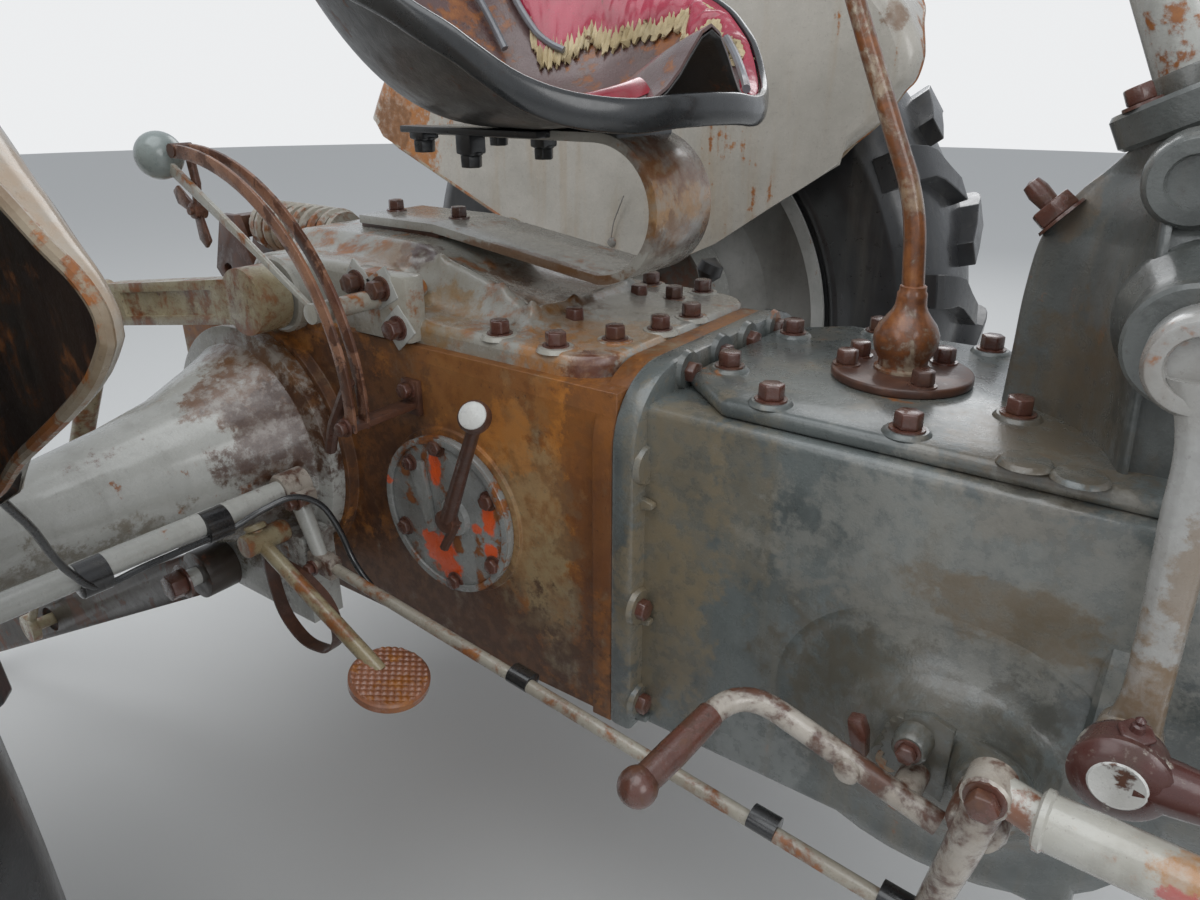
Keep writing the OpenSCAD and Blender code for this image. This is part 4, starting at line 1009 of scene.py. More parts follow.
def make_quadrant():
    centre_x, centre_z, outer, inner = -1034, 111, 232, 219
    parts = []
    for y in (-248, -232):
        arc = [
            (centre_x + r * math.cos(math.radians(a)), centre_z + r * math.sin(math.radians(a)))
            for r, angles in ((outer, range(-5, 93, 4)), (inner, range(91, -7, -4)))
            for a in angles
        ]
        parts.append(side_plate(arc, y, 4, 0.8))
    strips = dress(parts, "quadrant_strips", "rusty_steel", finish="strip_rust")
    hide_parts("quadrant")
    foot = block(mm(-823, -249, 92), mm(-803, -161, 99), 1.5)
    stay = block(mm(-824, -168, 84), mm(-800, -160.5, 122), 2)
    spacer = bar([mm(centre_x, -249, 337), mm(centre_x, -227, 337)], 7)
    tail = bar([mm(-812, -240, 140), mm(-838, -244, 92), mm(-857, -238, 58)], 6, resolution=2)
    dress([foot, stay, spacer, tail], "quadrant_foot", "rusty_steel")
    bolts("quadrant_bolts", [((-813, -168, 112), to_right, 15, 8), ((-813, -250, 96), to_right, 13, 7)])
    stem = side_plate(
        [(-846, 194), (-855, 205), (-962, 270), (-1066, 331), (-1073, 320), (-958, 258)], -240.5, 5, 1.2
    )
    pivot = turned([(0, 9.8), (140, 9.8), (141.5, 0)], mm(-850, -105.6, 200), to_right, 24)
    rod = dress([stem, pivot], "lift_lever_stem", "grey_paint", finish="rusty_grey")
    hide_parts("lift_control_lever")
    knob = ball(mm(-1076, -238, 330), 23.8, 36)
    dress(knob, "lift_lever_knob", "grey_paint", finish="knob_grey")
    ears = [side_plate(outline, -232, 4, 1.2) for outline in (
        [(-1042, 285), (-1065, 301), (-1074, 295), (-1069, 282), (-1046, 274)],
        [(-1030, 274), (-1021, 248), (-1030, 240), (-1040, 248), (-1042, 272)])]
    nut = turned([(0, 9), (12, 8), (14, 0)], mm(-1036, -224, 278), to_right, 20)
    stop = bar([mm(-1036, -240, 278), mm(-1036, -227, 278)], 4)
    hook = bar([mm(centre_x, -230, 332), mm(-1030, -230, 305), mm(-1036, -230, 280)], 4.5)
    dress(ears + [nut, stop, hook], "quadrant_wing_nut", "rusty_steel", finish="strip_rust")


def make_draft_spring():
    front, back, z, radius = -1104, -1250, 215, 27.5
    steps, coils = 20, 8
    line = []
    for i in range(steps * coils + 1):
        a = 2 * math.pi * i / steps
        x = front + (back - front) * i / (steps * coils)
        line.append(mm(x, radius * math.cos(a), z + radius * math.sin(a)))
    coil = bar(line, 7.2, resolution=2)
    core = bar([mm(-1094, 0, z), mm(-1290, 0, z)], 11.8)
    seat = turned([(0, 30), (8, 30.5), (10, 26)], mm(-1094, 0, z), backward, 32)
    end = turned([(0, 30.5), (9, 30.5), (11, 0)], mm(-1251, 0, z), backward, 32)
    spring = dress([coil, core, seat, end], "draft_spring_coil", "rusty_paint")
    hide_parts("draft_spring")


# The seat's own frame: round its middle, turned a little on its spring. Lengths in mm
SEAT_TURN = math.radians(-9.5)
SEAT_R = 228
SEAT_X = -776
SEAT_FLOOR = 359
HUMP = 56
# Half the height of the band round the pan's rim
BAND_HALF = 13.5
# Columns: angle from the front, height of the rim band's middle
rim_rows = [
    (0, 379), (10, 378), (20, 375), (30, 378), (37, 384), (44, 395), (51, 413), (56, 427), (62, 440),
    (70, 458), (80, 474), (95, 492), (115, 508), (140, 522), (160, 528), (180, 530)
]


def seat_point(angle, radius, z):
    a = angle + SEAT_TURN
    return mm(SEAT_X + radius * math.cos(a), radius * math.sin(a), z)


def rim_height(angle):
    return between(rim_rows, abs(math.degrees((angle + math.pi) % (2 * math.pi) - math.pi)))


def pan_height(angle, share, hump=True):
    """Height of the pan at a share of its radius, with the hump that is pressed into its front."""
    edge = rim_height(angle) + 8
    z = SEAT_FLOOR + (edge - SEAT_FLOOR) * share ** 3
    x, y = share * SEAT_R * math.cos(angle), share * SEAT_R * math.sin(angle)
    if hump:
        z += HUMP * eased(x, 30, 215) * math.exp(-(y / 37) ** 2)
    return z


def make_seat():
    def pan_point(u, v, inset, below):
        angle = 2 * math.pi * u
        return seat_point(angle, v * (SEAT_R - inset), pan_height(angle, v) - below)

    pan = sheet(120, 44, lambda u, v: pan_point(u, v, 3, 0), 2.4)
    dress(pan, "seat_pan_sheet", "black_paint", finish="pan_rust")
    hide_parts("seat_pan")
    under = sheet(120, 30, lambda u, v: pan_point(u, v, 2, 2.4 + 2.0 * v))
    wall = under.modifiers.new("wall", "SOLIDIFY")
    wall.thickness = MM * 1.2
    apply_all(under)
    dress(under, "seat_pan_underseal", "black_paint", finish="underseal")

    def band_point(u, v):
        angle, way = 2 * math.pi * u, 2 * math.pi * v
        c, s = math.cos(way), math.sin(way)
        out = math.copysign(abs(c) ** 0.55, c) * 4.2
        rise = math.copysign(abs(s) ** 0.6, s) * BAND_HALF
        swell = 1.6 * (1 - (rise / BAND_HALF) ** 2)
        return seat_point(angle, SEAT_R + 1 + out + swell, rim_height(angle) + rise)

    band = sheet(144, 20, band_point)
    dress(band, "seat_rim_band", "black_plastic", finish="band_black")

    # Torn cover's inner edge, from the far front round to the near side. Columns: angle, share of radius
    torn_rows = [
        (24, 0.99), (34, 0.94), (48, 0.95), (56, 0.98), (62, 0.93), (70, 0.95), (76, 0.86), (82, 0.93),
        (90, 0.88), (97, 0.86), (104, 0.83), (110, 0.80), (116, 0.82), (122, 0.77), (128, 0.73), (136, 0.72),
        (141, 0.84), (148, 0.93), (158, 0.94), (172, 0.93), (190, 0.95), (215, 0.9), (240, 0.93), (262, 0.92),
        (276, 0.965), (286, 0.99)
    ]
    torn_start = torn_rows[0][0]
    torn_sweep = torn_rows[-1][0] - torn_start

    def cover_point(u, v):
        turn = torn_start + torn_sweep * u
        low = between(torn_rows, turn) + 0.006 * math.sin(turn * 2.3) + 0.004 * math.sin(turn * 7.1 + 1)
        low = min(low, 0.992)
        share = low + (1.0 - low) * v
        swell = 13 * math.sin(math.pi * min(v * 1.15 + 0.02, 1)) ** 0.7 * min(1, (1 - low) * 9)
        wrinkle = 1.1 * math.sin(turn * 0.9 + 9 * v) + 0.7 * math.sin(turn * 2.1 - 6 * v)
        puff = swell + wrinkle * v * (1 - v) * 3
        radius = share * (SEAT_R - 4) - puff * share ** 2 * 0.75
        angle = math.radians(turn)
        return seat_point(angle, radius, pan_height(angle, share, False) + 2.2 + puff * 0.62)

    cover = sheet(260, 18, cover_point, 2.2, 60)
    dress(cover, "seat_torn_cover", "red_vinyl")
    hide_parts("seat_cushion")

    def foam_point(u, v):
        turn = 52 + 88 * u
        low = between(torn_rows, turn) - 0.035 + 0.014 * math.sin(turn * 1.7) + 0.01 * math.sin(turn * 5.3)
        share = low + (0.985 - low) * v
        swell = (6 + 3 * math.sin(turn * 3.1 + 8 * v)) * math.sin(math.pi * min(0.12 + 0.8 * v, 1))
        radius = share * (SEAT_R - 5) - swell * 0.6
        angle = math.radians(turn)
        return seat_point(angle, radius, pan_height(angle, share, False) + 1.6 + swell * 0.5)

    foam = sheet(150, 10, foam_point, 3, 60)
    dress(foam, "seat_foam_shreds", "red_vinyl", finish="foam")
    piping_rows = [
        [(148, 0.97), (146, 0.9), (142, 0.84), (137, 0.78), (132, 0.75), (126, 0.73)],
        [(60, 0.95), (52, 0.955), (44, 0.965), (36, 0.975), (28, 0.99)],
        [(166, 0.965), (159, 0.9), (154, 0.8), (151, 0.72)]
    ]
    pipes = []
    for rows in piping_rows:
        line = [
            seat_point(a, share * (SEAT_R - 6) - 5, pan_height(a, share, False) + 9)
            for a, share in ((math.radians(turn), share) for turn, share in rows)
        ]
        pipes.append(bar(rounded(line, 20, 4), 4.2, resolution=2))
    dress(pipes, "seat_piping", "black_plastic", finish="piping_grey")

    def strip_point(u, v):
        y = -103 + 62 * u
        x = 196 - 26 * v + 5 * math.sin(3 * u)
        z = 372 + 12 * u + 8 * math.sin(math.pi * v) + 5 * v
        angle = math.atan2(y, x)
        return seat_point(angle, math.hypot(x, y), z + 8)

    strip = sheet(20, 8, strip_point, 2, 60)
    dress(strip, "seat_loose_strip", "red_vinyl", finish="crimson_strip")


def make_seat_bolts():
    rails = [block(mm(-900, y - 13, 350.5), mm(-716, y + 13, 357), 1.2) for y in (-58, 58)]
    legs = []
    for x, y, low in [(x, y, low) for y in (-58, 58) for x, low in ((-878, 334), (-812, 322))]:
        legs.append(block(mm(x - 10, y - 12, low + 10), mm(x + 10, y + 12, 352), 2))
        legs.append(bolt(mm(x, y, low + 11), down, 20, 12, 12))
    plate_top = block(mm(-716, -48, 350.8), mm(-640, 48, 358), 1.5)
    dress(rails + legs + [plate_top], "seat_rails", "black_paint")


COLUMN_TILT = math.radians(26)
column_way = Vector((-math.sin(COLUMN_TILT), 0, math.cos(COLUMN_TILT)))
column_back = Vector((-math.cos(COLUMN_TILT), 0, -math.sin(COLUMN_TILT)))
column_foot, column_top = mm(-204, 0, 392), mm(-396.9, 0, 787.5)
NECK_R = 47
# Columns: nose x and height, ridge x, front x and height, half width
pedestal_levels = [
    (-287, 164.6, -193, -84, 164.6, 112), (-286.5, 210, -196, -88, 210, 109.5),
    (-286, 255, -199, -97, 255, 107), (-281, 297, -202, -108, 300, 103), (-264, 327, -205, -116, 334, 86),
    (-250, 343, -206, -126, 354, 70)
]
# Columns: share of the way from nose to ridge, share of the half width
pedestal_plan = [
    (0, 0), (0, 0.09), (0.22, 0.145), (0.44, 0.25), (0.62, 0.39), (0.82, 0.63), (0.95, 0.9), (1, 1)
]
# The top ring's angles, one for each corner of the plan, and the steps between two corners
RING_STEPS = 4
neck_angles = [180, 173, 160, 148, 136, 122, 108, 97, 92, 86, 45, 22, 0]


def both_sides(near):
    """A ring whose second half mirrors the first."""
    return near + [Vector((p.x, -p.y, p.z)) for p in near[-2:0:-1]]


def pedestal_ring(nose, low, ridge, front, high, half):
    keys = [(nose + (ridge - nose) * a, half * b) for a, b in pedestal_plan]
    keys += [
        (ridge + 6, half + 1.5), (ridge + 11, half - 6), (front - 16, half - 9), (front, half - 24),
        (front, 0)
    ]
    near = []
    for k in range((len(keys) - 1) * RING_STEPS + 1):
        x, y = passed(keys, k / RING_STEPS)
        near.append(mm(x, y, low + (high - low) * (x - nose) / (front - nose)))
    return both_sides(near)


def make_pedestal():
    rings = [pedestal_ring(*level) for level in pedestal_levels]
    near = []
    for k in range((len(neck_angles) - 1) * RING_STEPS + 1):
        a = math.radians(between(list(enumerate(neck_angles)), k / RING_STEPS))
        back, out = -NECK_R * MM * math.cos(a), mm(0, NECK_R * math.sin(a), 0)
        near.append(column_foot - 16 * MM * column_way + back * column_back + out)
    rings.append(both_sides(near))
    body = lofted(rings, 5, 34)
    neck = turned(
        [(-16, 50), (-13, 53.5), (6, 54), (9, 51.5), (9, 26), (20, 25.5), (22, 24.5)], column_foot,
        column_way, 48
    )
    shaft_boss = turned([
        (-168, 34), (-165, 36.5), (-120, 38.5), (-106, 48), (-90, 50), (90, 50), (106, 48), (120, 38.5),
        (165, 36.5), (168, 34)
    ], mm(-170, 0, 266), to_left, 40)
    parts = [body, neck, shaft_boss]
    cap = [(0, 31), (16, 29.5), (25, 27), (27, 25), (27, 16.5), (22, 15), (21, 0)]
    for side in (right, left):
        parts.append(turned(cap, mm(-192, side * 69, 347), (0, side, 0), 32))
    box = dress(parts, "steering_pedestal", "wet_casting", finish="pedestal_grey")
    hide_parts("steering_box")
    hexes = []
    for a in map(math.radians, (-45, 45, 135, 225)):
        out = math.cos(a) * column_back + Vector((0, math.sin(a), 0))
        hexes.append(bolt(column_foot + 9 * MM * column_way + 42 * MM * out, column_way, 17, 11, 12.5, a))
    hexes.append(bolt(mm(-271, -12, 310), (-0.75, 0, 0.66), 29, 12, 19, 0.3))
    hexes.append(turned([(0, 7), (12, 8), (20, 6.5), (22, 0)], mm(-281, -12, 319), (-0.75, 0, 0.66), 16))
    dress(hexes, "steering_pedestal_bolts", "rusty_steel", finish="bolt_rust")


# Where the drag link's end sits on a drop arm
LINK_X, LINK_Z = -148, 28


def make_drop_arms():
    # Middle line of the shank. Columns: x, z, half width, half thickness
    rows = [
        (-163, 258, 17, 9), (-157, 240, 14.5, 9), (-152, 215, 14, 9), (-151, 180, 13.5, 9),
        (-149, 140, 12.8, 9), (-147, 95, 12.5, 8.6), (-146, 58, 12.8, 8.6), (-148, 28, 17, 8.6)
    ]
    for side, word in SIDES:
        node = "drop_arm_" + word
        shank = lofted([oval(mm(x, side * 199, z), down, forward, hx, hy, 2.5) for x, z, hx, hy in rows], 4)
        eye = turned(
            [(0, 26.5), (4, 28.5), (34, 28), (37.5, 25.5), (38, 23.5), (37, 17.5), (30, 15.5)],
            mm(-164, side * 170, 266), (0, side, 0), 40
        )
        low = turned([(0, 17), (3, 19), (18, 19), (21, 17)], mm(LINK_X, side * 189, LINK_Z), (0, side, 0), 32)
        arm = dress([shank, eye, low], node + "_forging", "rusty_paint", body_of_node[node], "pale_rod")
        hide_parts(node)


def make_drag_link_ends():
    for side, word in SIDES:
        node = "drag_link_end_" + word
        out = (0, side, 0)
        socket = turned([
            (0, 21), (3, 24.5), (8, 25.8), (21.5, 26.2), (23.5, 27.8), (27.5, 27.8), (29.5, 26), (32.5, 20.5),
            (33.5, 17.5)
        ], mm(LINK_X, side * 214, LINK_Z), out, 40)
        neck = bar(
            [mm(x, side * 231, LINK_Z) for x in (-140, -120, -96, -64)], 13.5, [1.3, 1.2, 1.0, 0.96], 4
        )
        lean = (0.05, side * 0.12, 1)
        flat_hex = bolt(mm(-146, side * 228, 51.5), lean, 19, 3, 4, 0.5)
        nipple = turned(
            [(0, 4.2), (4.5, 3.6), (5.5, 2.2), (8.5, 3), (10.5, 1.2), (11, 0)], mm(-146, side * 228.5, 56),
            lean, 14
        )
        ends = dress(
            [socket, neck, flat_hex, nipple], node + "_socket", "rusty_steel", body_of_node[node],
            "maroon_cap"
        )
        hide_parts(node)
        disc = turned(
            [(0, 16.2), (0.4, 15.8), (1.2, 14.8), (0.6, 13.8)], mm(LINK_X, side * 247.3, LINK_Z), out, 32
        )
        dress(disc, node + "_disc", "rusty_steel", body_of_node[node], "chipped_white")
        turns = range(73)
        thread = bar(
            [mm(-66 + i, side * 231, LINK_Z) for i in turns], 9, [1.0 if i % 2 else 0.9 for i in turns]
        )
        dress(thread, node + "_thread", "rusty_steel", body_of_node[node])


AXLE_X, AXLE_Z = -1070, -5
WING_Y, WING_R, WING_WIDTH = 545, 690, 290
# Radius of the bend between a wing's wall and its top, and the share of its section that the bend takes
WING_BEND, BEND_SHARE = 26, 0.4
# Where the round part starts at the back, in degrees from the front
ARC_START = 151
# In front of this x a wing grows narrower, by this share of the way
TAPER_X, TAPER = -830, 0.55
# Columns: x, z, width of the wing there. From the back over the tyre to the nose
far_wing_nose = [
    (-626, 523, 150), (-601, 497, 118), (-583, 472, 66), (-568, 442, 36), (-565, 424, 30), (-570, 399, 26),
    (-582, 384, 22), (-605, 348, 18), (-644, 313, 16), (-715, 261, 14), (-762, 228, 12), (-860, 158, 10)
]
near_wing_nose = [
    (-762, 592, 250), (-725, 541, 206), (-690, 485, 160), (-660, 438, 96), (-637, 401, 52), (-618, 382, 36),
    (-601, 362, 26), (-584, 340, 19), (-573, 325, 13), (-566, 310, 10), (-565, 298, 10), (-570, 288, 10),
    (-600, 262, 10), (-675, 217, 10), (-790, 153, 10), (-860, 122, 10)
]
wing_hem = [(-980, 91), (-1160, 91), (-1270, 135), (-1633, 290)]


def bend_of(width):
    return min(WING_BEND, width * 0.85)


def make_wing(side, word, nose, arc_end):
    """A wing: its round part down to arc_end, in degrees, then the nose, and its flat inner wall."""
    node = "wing_" + word
    rows, arc_steps, nose_steps = [], 40, 3
    for i in range(arc_steps + 1):
        a = math.radians(ARC_START + (arc_end - ARC_START) * i / arc_steps)
        x, z = AXLE_X + WING_R * math.cos(a), AXLE_Z + WING_R * math.sin(a)
        rows.append((x, z, WING_WIDTH - TAPER * max(0, x - TAPER_X)))
    nose_rows = [rows[-1]] + nose
    line = rows[:-1]
    line += [passed(nose_rows, i / nose_steps) for i in range((len(nose_rows) - 1) * nose_steps + 1)]
    outward = []
    for i, (x, z, width) in enumerate(line):
        (x0, z0, _), (x1, z1, _) = line[max(i - 1, 0)], line[min(i + 1, len(line) - 1)]
        n = Vector((z0 - z1, 0, x1 - x0))
        outward.append(n.normalized() if n.dot(Vector((x - AXLE_X, 0, z - AXLE_Z))) > 0 else -n.normalized())
    last = len(line) - 1

    def skin_point(u, v, gap):
        i = round(u * last)
        x, z, width = line[i]
        bend = bend_of(width)
        if v < BEND_SHARE:
            a = v / BEND_SHARE * math.pi / 2
            out, across = (bend - gap) * math.sin(a) - bend, bend - (bend - gap) * math.cos(a)
        else:
            out, across = -gap, bend + (width - bend) * (v - BEND_SHARE) / (1 - BEND_SHARE)
        return mm(x, side * (WING_Y + across), z) + MM * out * outward[i]

    flat = [mm(x, 0, z) - MM * (bend_of(width) - 0.4) * n for (x, z, width), n in zip(line, outward)]
    hem = [mm(x, 0, z) for x, z in wing_hem]
    skin = sheet(last, 15, lambda u, v: skin_point(u, v, 1.2), 2.2)
    wall = plate([p + mm(0, side * (WING_Y + 0.1), 0) for p in flat + hem], mm(0, side * 2.2, 0))
    bracket = block(mm(AXLE_X - 30, side * 546, 67), mm(AXLE_X + 30, side * 575, 99), 2)
    wing = dress([skin, wall, bracket], node + "_sheet", "wing_paint")
    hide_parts(node)
    # The sheet under the wing is painted near-black as shade, with some rust
    inner_skin = sheet(last, 15, lambda u, v: skin_point(u, v, 3.2), 0.6)
    inner_wall = plate([p + mm(0, side * (WING_Y + 2.6), 0) for p in flat + hem], mm(0, side * 0.6, 0))
    dress([inner_skin, inner_wall], node + "_underside", "rusty_steel", finish="wing_underside")
    edge = [mm(x, side * (WING_Y + width), z) - 3 * MM * n for (x, z, width), n in zip(line, outward)]
    hem_line = rounded([edge[-1]] + [p + mm(0, side * (WING_Y + 2), 0) for p in hem] + [edge[0]], 50, 4)
    bead = bar(rounded(edge, 10, 2), 4.2, resolution=2)
    lower = bar(hem_line, 3.6, resolution=2)
    dress([bead, lower], node + "_rolled_edge", "rusty_paint", finish="edge_rust")


def make_wing_details():
    stud = turned([(0, 9), (2, 8.5), (6, 6.2), (8, 0)], mm(-1059, 545, 134), to_right, 20)
    wire = bar(
        rounded([mm(-1059, 541, 136), mm(-1050, 536, 170), mm(-1026, 532, 217)], 10), 1.1, resolution=2
    )
    dress([stud, wire], "wing_left_stud", "bare_steel")
    spots = ((-1320, 300), (-1070, 360), (-820, 300), (-1200, 180), (-940, 180))
    bolts("wing_bolts", [((x, -545.3, z), to_left, 13, 6) for x, z in spots])


COVER_BACK, COVER_FRONT, COVER_HALF = -1092, -584, 151
COVER_CORNER, COVER_EDGE = 50, 9
# Columns: x, height at the middle, height out to the sides
lift_rows = [
    (-1092, 229, 190), (-1070, 238, 216), (-1010, 241, 222), (-900, 240, 222), (-872, 237, 212),
    (-852, 231, 192), (-800, 218, 180), (-760, 206, 178.5), (-715, 190, 178), (-680, 181, 178),
    (-640, 178.5, 177.5), (-584, 177, 177)
]
# Ribs: both ends as x, y and height
lift_ribs = [
    ((-872, -98, 9), (-838, -86, 8)), ((-838, -86, 8), (-754, -84, 8)), ((-754, -84, 8), (-712, -88, 7)),
    ((-712, -88, 7), (-712, -20, 6)), ((-712, -20, 6), (-709, 83, 5)), ((-712, -88, 7), (-690, -120, 4)),
    ((-754, 84, 8), (-872, 98, 9)), ((-709, 83, 5), (-754, 84, 8))
]


def lift_height(x, y, gap):
    """Height of the lift cover at a place that lies gap from its outline."""
    middle = between([(row[0], row[1]) for row in lift_rows], x)
    sides = between([(row[0], row[2]) for row in lift_rows], x)
    z = middle + (sides - middle) * eased(abs(y), 78, 112)
    z -= 13 * math.exp(-((x + 775) / 48) ** 2) * math.exp(-(y / 62) ** 4)
    for (x0, y0, h0), (x1, y1, h1) in lift_ribs:
        span = (x1 - x0) ** 2 + (y1 - y0) ** 2
        t = min(max(((x - x0) * (x1 - x0) + (y - y0) * (y1 - y0)) / span, 0), 1)
        d = math.hypot(x - x0 - t * (x1 - x0), y - y0 - t * (y1 - y0))
        z = max(z, z + (h0 + (h1 - h0) * t) * 0.72 * math.exp(-(d / 6.5) ** 2))
    if gap < COVER_EDGE:
        z -= COVER_EDGE * (1 - math.sqrt(max(0, 1 - ((COVER_EDGE - gap) / COVER_EDGE) ** 2)))
    return z


def make_lift_cover():
    columns, rows = 170, 100

    def cover_point(u, v):
        i, j = round(u * columns), round(v * rows)
        s = min(max((i - 2) / (columns - 4), 0), 1)
        t = min(max((j - 2) / (rows - 4), 0), 1)
        x = COVER_BACK + (COVER_FRONT - COVER_BACK) * s
        half = COVER_HALF
        past = x - (COVER_FRONT - COVER_CORNER)
        if past > 0:
            half += math.sqrt(max(0, COVER_CORNER ** 2 - past ** 2)) - COVER_CORNER
        y = half * (2 * t - 1)
        gap = min(half - abs(y), x - COVER_BACK, COVER_FRONT - x)
        z = lift_height(x, y, gap)
        if i in (0, columns) or j in (0, rows):
            return mm(x, y, 156.5)
        if i in (1, columns - 1) or j in (1, rows - 1):
            return mm(x, y, z - 0.2)
        return mm(x, y, z)

    cover = sheet(columns, rows, cover_point, angle=50)
    shaft_tube = turned([(-176, 39), (-173, 42), (173, 42), (176, 39)], mm(-1004, 0, 184), to_left, 40)
    piece = dress([cover, shaft_tube], "lift_cover_casting", "grey_paint", finish="lift_cover_grey")
    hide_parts("lift_cover")


# Middle of a tyre, the lugs on each side of it, and the radius where they start inside it
TYRE_Y, LUGS, LUG_FOOT_R = 770, 18, 512
tyre_profile = [
    (564, 0), (562, 40), (558, 70), (545, 104), (530, 122), (505, 133), (498, 134), (494, 132.4), (470, 134),
    (452, 133.5), (420, 126), (398, 117), (392, 118.5), (386, 117), (378, 109), (364, 108), (357, 106)
]
# A lug. Columns: distance from the tyre's middle, way round of its trailing and leading side, top radius
lug_rows = [
    (-8, -24, 13, 589.5), (30, -2, 38, 588.5), (62, 17, 66, 586), (88, 26.5, 74, 583), (112, 27.5, 79, 577),
    (125, 29, 82, 570), (132, 30, 83.5, 560), (133.6, 30, 84, 538)
]


def make_tyre(side, word):
    node = "tyre_" + word
    at = mm(AXLE_X, side * TYRE_Y, AXLE_Z)
    half = [(across, radius) for radius, across in tyre_profile]
    loop = [(-across, radius) for across, radius in half[:0:-1]] + half
    carcass = turned(loop, at, to_left, 96, closed=True)
    treads = []
    for way in (-1, 1):
        rings = []
        for across, back, front, top in lug_rows:
            y = side * TYRE_Y - way * across
            corners = ((LUG_FOOT_R, back), (top, back), (top, front), (LUG_FOOT_R, front))
            rings.append([mm(AXLE_X + r, y, AXLE_Z + w) for r, w in corners])
        lug = lofted(rings, 1, 20)
        edges_rounded(lug, 4.5, 2, 24)
        made = [lug]
        for i in range(LUGS):
            turn = math.radians((i + way * 0.25) * 360 / LUGS)
            only(lug)
            bpy.ops.object.duplicate()
            copy = bpy.context.object
            spin = Matrix.Rotation(-turn, 4, "Y")
            copy.matrix_world = Matrix.Translation(at) @ spin @ Matrix.Translation(-at)
            settle(copy)
            made.append(copy)
        only(lug)
        bpy.ops.object.delete()
        treads.append(joined(made[1:]))
    tyre = dress([carcass] + treads, node + "_rubber", "tyre_rubber", body_of_node[node])
    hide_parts(node)


def make_wheel_details(side, word):
    body = body_of_node["rim_" + word]
    out = (0, side, 0)
    places = [((AXLE_X + x, side * 699.3, AXLE_Z + z), out, 27, 17) for x, z in ring_places(WHEEL_NUTS_R)]
    bolts("wheel_nuts_" + word, places, "bare_steel", body)
    cap = turned(
        [(0, 46), (6, 45), (12, 39), (14, 22), (18, 20), (20, 0)], mm(AXLE_X, side * 721.5, AXLE_Z), out, 40
    )
    valve = bar(
        [mm(AXLE_X + 250, side * 742, AXLE_Z + 210), mm(AXLE_X + 244, side * 766, AXLE_Z + 204)], 5,
        resolution=2
    )
    dress([cap, valve], "hub_cap_" + word, "grey_paint", body_of_node["hub_" + word])


def make_gearbox():
    body = block(mm(-560, -152, -186), mm(-150, 152, 150))
    edges_rounded(body, 9, 3)
    flange = plate(arch(-560, 171, -186, 177, 70), mm(25, 0, 0), 5.5)
    bell = turned([
        (-172, 14.4), (-172, 158), (-168, 163), (-76, 164), (-60, 168), (-24, 186), (-22, 190), (-22, 196.5),
        (-20.5, 198), (-1, 198), (0, 197), (0, 150), (-130, 150), (-130, 60), (-126, 40), (-130, 14.4)
    ], (0, 0, 0), forward, 72, closed=True)
    drill = joined([
        bar([mm(-60, y, z), mm(5, y, z)], 6.5, resolution=4)
        for y, z in ring_places(BELL_BOLTS_R)
    ])
    cut = bell.modifiers.new("holes", "BOOLEAN")
    cut.operation, cut.object, cut.solver = "DIFFERENCE", drill, "EXACT"
    apply_all(bell)
    only(drill)
    bpy.ops.object.delete()
    smooth(bell, 35)
    parts = [body, flange, bell]
    # Columns: distance from the centreline, middle x and z, half width, half height, squareness
    swell = [
        (146, -262, -72, 150, 128, 2.1), (152.2, -262, -72, 136, 114, 2.1), (153.2, -261, -71, 123, 102, 2.1),
        (155.6, -260, -70, 109, 91, 2.1), (160.5, -258, -69, 94, 78, 2.2), (168, -254, -66, 80, 65, 2.3),
        (179, -250, -62, 70, 55, 2.4), (190, -245, -57, 61, 47, 2.4), (199, -238, -51, 51, 40, 2.3),
        (206, -228, -43, 40, 33, 2.2), (213, -218, -35, 31, 28, 2.1), (220, -213.5, -31.5, 26.5, 26, 2),
        (229, -213, -31, 24.5, 24.5, 2), (232, -213, -31, 22.5, 22.5, 2)
    ]
    for side in (right, left):
        rings = [
            oval(mm(x, side * y, z), (0, side, 0), forward, hx, hz, power, 40)
            for y, x, z, hx, hz, power in swell
        ]
        parts.append(lofted(rings, 3, 45))
        plug_seat = [(0, 16), (6, 13.5), (20, 12.5), (23, 11)]
        parts.append(turned(plug_seat, mm(-283, side * 190, -52), (-0.1, side, 0), 24))
    for z in (-172, -60, 60):
        outline = [(-536, z - 6), (-522, z - 2.5), (-522, z + 2.5), (-536, z + 6)]
        parts.append(side_plate(outline, -153.2, -8, 1.5))
    floor_rib = block(mm(-520, -120, -191), mm(-180, 120, -184), 3)
    housing = dress(parts + [floor_rib], "gearbox_casting", "wet_casting")
    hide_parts("gearbox_housing")
    plug = turned([(0, 9), (3, 8.5), (4, 0)], mm(-283, -212, -52), (-0.1, -1, 0), 20)
    dress(plug, "shelf_plug", "bare_steel", finish="edge_rust")


# The brake's cross shaft, and the pin of the rod's rear fork
SHAFT_X, SHAFT_Z = -940, -8
FORK_X, FORK_Z = -905, -92


